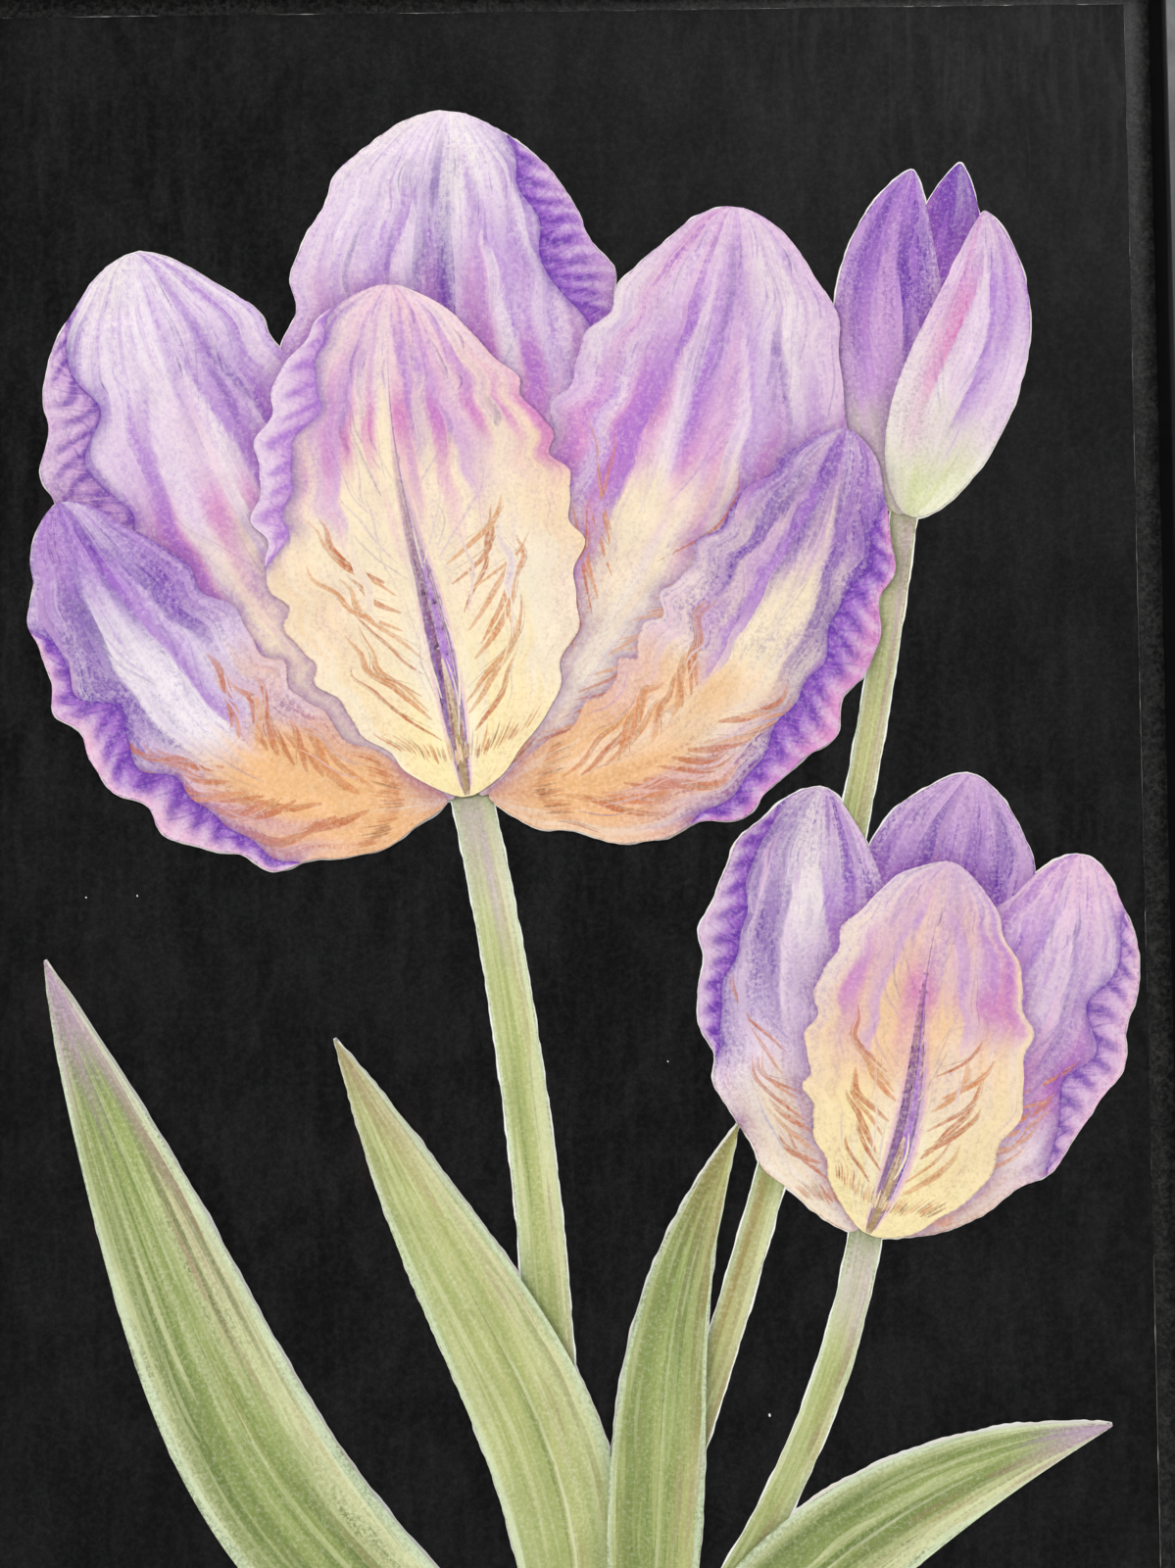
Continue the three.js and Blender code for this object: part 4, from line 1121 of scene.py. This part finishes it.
def make_sheet(material):
    h, v = sheet_grid(SHEET_STEP)
    points = film_points(h * SHEET_WIDTH / 2, v * SHEET_HEIGHT / 2, -SHEET_THICKNESS, SHEET_THICKNESS)
    sheet = new_piece("sheet_of_paper", points, film_faces(*h.shape))
    placed(sheet, "watercolour_paper", material, "paper_sheet")


def edge_inset(along, seed):
    """How far short of the cut edge the black stops, which leaves a fine broken white line."""
    wander = ripple(along, 0, 26, seed) + 0.7 * ripple(along, 0, 6, seed + 1)
    dashes = smooth(0.1, 1.3, ripple(along, 0, 2.4, seed + 2))
    return np.clip(0.022 + 0.014 * wander, 0.004, 0.06) + 0.07 * dashes * smooth(-0.9, 0.9, wander)


def make_ground(material, outlines):
    """The black round the motif, blackest where it was cut in along it and worn thin in spots."""
    h, v = sheet_grid(GROUND_STEP)
    x = h * SHEET_WIDTH / 2
    y = v * SHEET_HEIGHT / 2
    x_inset = np.where(h < 0, edge_inset(y, 61), edge_inset(y, 67))
    y_inset = np.where(v < 0, edge_inset(x, 71), edge_inset(x, 79))
    x = x - np.sign(h) * x_inset * smooth(0.97, 1.0, np.abs(h))
    y = y - np.sign(v) * y_inset * smooth(0.98, 1.0, np.abs(v))
    cloud = 0.5 + 0.35 * ripple(x, y * 0.6, 60, 5) + 0.15 * ripple(x * 2, y * 0.5, 30, 6)
    wash = mix(colour(8, 8, 9), colour(14, 14, 15), np.clip(cloud, 0, 1))
    gap = distance_to(outlines, x, y)
    cut_in = np.exp(-gap / np.clip(5 + 2.5 * ripple(x, y, 14, 8), 2, 12))
    wash = mix(wash, colour(6, 6, 7), 0.7 * cut_in)
    thin = smooth(0.9, 1.8, ripple(x, y, 24, 9)) * np.exp(-np.maximum(gap - 1, 0) / 3)
    wash = mix(wash, colour(52, 40, 36), 0.4 * thin)
    points = film_points(x, y, GROUND_LEVEL)
    ground = new_piece("black_painted_ground", points, film_faces(*x.shape), wash=rgba(wash))
    nodes = sorted(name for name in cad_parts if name.startswith("black_ground"))
    placed(ground, "black_gouache", material, *nodes)


def make_flecks(material, outlines):
    """A few tiny flecks of white that fell on the black."""
    draw = np.random.default_rng(23)
    turn = np.linspace(0, TURN, FLECK_SIDES, endpoint=False)
    loop = np.arange(FLECK_SIDES)
    faces = [loop, loop[::-1] + FLECK_SIDES, *side_faces(loop, FLECK_SIDES)]
    flecks = []
    while len(flecks) < FLECKS:
        x = draw.uniform(-0.47, 0.47) * SHEET_WIDTH
        y = draw.uniform(-0.48, 0.48) * SHEET_HEIGHT
        if distance_to(outlines, np.array([x]), np.array([y]))[0] < 6:
            continue
        radius = draw.uniform(0.12, 0.34) * (1 + 0.3 * np.cos(turn * 2 + draw.uniform(0, 6)))
        ring = (x + radius * np.cos(turn), y + radius * np.sin(turn))
        flecks.append((film_points(*ring, GROUND_LEVEL, RESERVE_LEVEL - GROUND_LEVEL), faces))
    placed(new_piece("white_flecks", *joined(flecks)), "watercolour_paper", material)


def reserve_ring(form, level, seed):
    """A closed band round a form's outline: the bare paper that shows between it and the black."""
    line = outline(form, 260)
    along = np.roll(line, -1, axis=0) - np.roll(line, 1, axis=0)
    along /= np.maximum(np.linalg.norm(along, axis=1, keepdims=True), 1e-9)
    outward = np.stack((along[:, 1], -along[:, 0]), axis=-1)
    width = 0.34 + 0.16 * ripple(*line.T, 5, seed) + 0.1 * ripple(*line.T, 2, seed + 5)
    band = np.stack([line - outward * 0.9, line + outward * np.clip(width, 0.08, 0.8)[:, None]], axis=1)
    points = film_points(band[..., 0], np.maximum(band[..., 1], -SHEET_HEIGHT / 2 + 0.05), level)
    count = len(points) // 2
    inner = np.arange(0, count, 2)
    following = np.roll(inner, -1)
    top = np.stack((inner, inner + 1, following + 1, following), axis=-1)
    sides = (side_faces(inner + 1, count), side_faces(inner, count)[:, ::-1])
    return points, np.concatenate((top, top[:, ::-1] + count, *sides))


def make_reserve(material):
    forms = [layer.form for layer in layers if not isinstance(layer.form, Rim)]
    rings = [reserve_ring(form, RESERVE_LEVEL + 0.001 * i, 100 + i) for i, form in enumerate(forms)]
    placed(new_piece("white_reserve_line", *joined(rings)), "watercolour_paper", material)


# ---- Frame, boards and fittings ----


def dress_nodes():
    """New finishes for the solids that stay as they are, by how their names begin."""
    steel = metal_finish("zinc_steel", colour(188, 190, 192), colour(150, 152, 155), 0.3)
    upright_rail = rail_finish("black_lacquered_wood_upright", 1)
    level_rail = rail_finish("black_lacquered_wood_level", -1)
    finishes = {
        "frame_rail_left": upright_rail,
        "frame_rail_right": upright_rail,
        "frame_rail": level_rail,
        "mount_board": mount_board_finish(),
        "mount_tape": tape_finish(),
        "backing_board": hardboard_finish(),
        "backing_point": steel,
        "corner_nail": steel,
        "hanger_screw": steel,
        "hanger": metal_finish("brassed_steel", colour(206, 172, 100), colour(168, 132, 66), 0.28),
        "wall_pad": felt_finish(),
    }
    for name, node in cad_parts.items():
        start = next((start for start in finishes if name.startswith(start)), None)
        if start:
            wear(node, finishes[start])


# ---- Camera, lights and floor ----

PHOTO_HEIGHT = 1600
FOCAL_PIXELS = 1333
CAMERA_PLACE = Vector((6.6, -349.0, -221.25)) * MM
CAMERA_PITCH = math.radians(1.47)
CAMERA_ROLL = math.radians(-0.727)
FLOOR_REACH = 6.0


def make_camera():
    data = bpy.data.cameras.new("camera")
    data.sensor_fit = "VERTICAL"
    data.sensor_height = 36.0
    data.lens = FOCAL_PIXELS / PHOTO_HEIGHT * data.sensor_height
    data.clip_start = 0.02
    camera = bpy.data.objects.new("camera", data)
    bpy.context.scene.collection.objects.link(camera)
    turn = Matrix.Rotation(CAMERA_PITCH, 4, "X") @ Matrix.Rotation(math.pi / 2, 4, "X")
    camera.matrix_world = Matrix.Translation(CAMERA_PLACE) @ turn @ Matrix.Rotation(CAMERA_ROLL, 4, "Z")
    bpy.context.scene.camera = camera


def add_softbox(name, place, target, width, height, watts, spread=180, glares=True):
    """A soft rectangular light; one that doesn't glare lights the picture but isn't mirrored in it."""
    data = bpy.data.lights.new(name, "AREA")
    data.shape = "RECTANGLE"
    data.size = width
    data.size_y = height
    data.energy = watts
    data.spread = math.radians(spread)
    light = bpy.data.objects.new(name, data)
    bpy.context.scene.collection.objects.link(light)
    light.location = place
    light.visible_glossy = glares
    light.rotation_euler = (Vector(target) - Vector(place)).to_track_quat("-Z", "Y").to_euler()


def make_studio():
    """A pale floor under the frame, two soft lights in front, a weak one behind and a dim sky."""
    corners = [(-1, -1), (1, -1), (1, 1), (-1, 1)]
    points = np.array([(x * FLOOR_REACH, y * FLOOR_REACH, cad_box[0].z) for x, y in corners])
    floor = new_piece("floor", points, [(0, 1, 2, 3)])
    wear(floor, floor_finish())
    middle = (cad_box[0] + cad_box[1]) / 2
    add_softbox("left", (-2.6, -1.5, 0.4), middle, 1.4, 1.4, 13.5, spread=80, glares=False)
    add_softbox("window", (0.85, -2.0, 1.7), (0.15, 0.0, 0.0), 1.2, 1.4, 44)
    add_softbox("behind", (0.6, 1.6, 1.1), middle, 1.2, 1.2, 22)
    world = bpy.data.worlds.new("studio")
    world.use_nodes = True
    background = world.node_tree.nodes["Background"]
    background.inputs["Color"].default_value = (0.86, 0.88, 0.9, 1.0)
    background.inputs["Strength"].default_value = 0.24
    bpy.context.scene.world = world


# ---- Assembly ----

bpy.context.scene.view_settings.view_transform = "Standard"

make_camera()
paper = paper_finish()
make_sheet(paper)
outlines = make_motif(watercolour_finish())
make_ground(gouache_finish(), outlines)
make_flecks(paper, outlines)
make_reserve(paper)
dress_nodes()
make_studio()
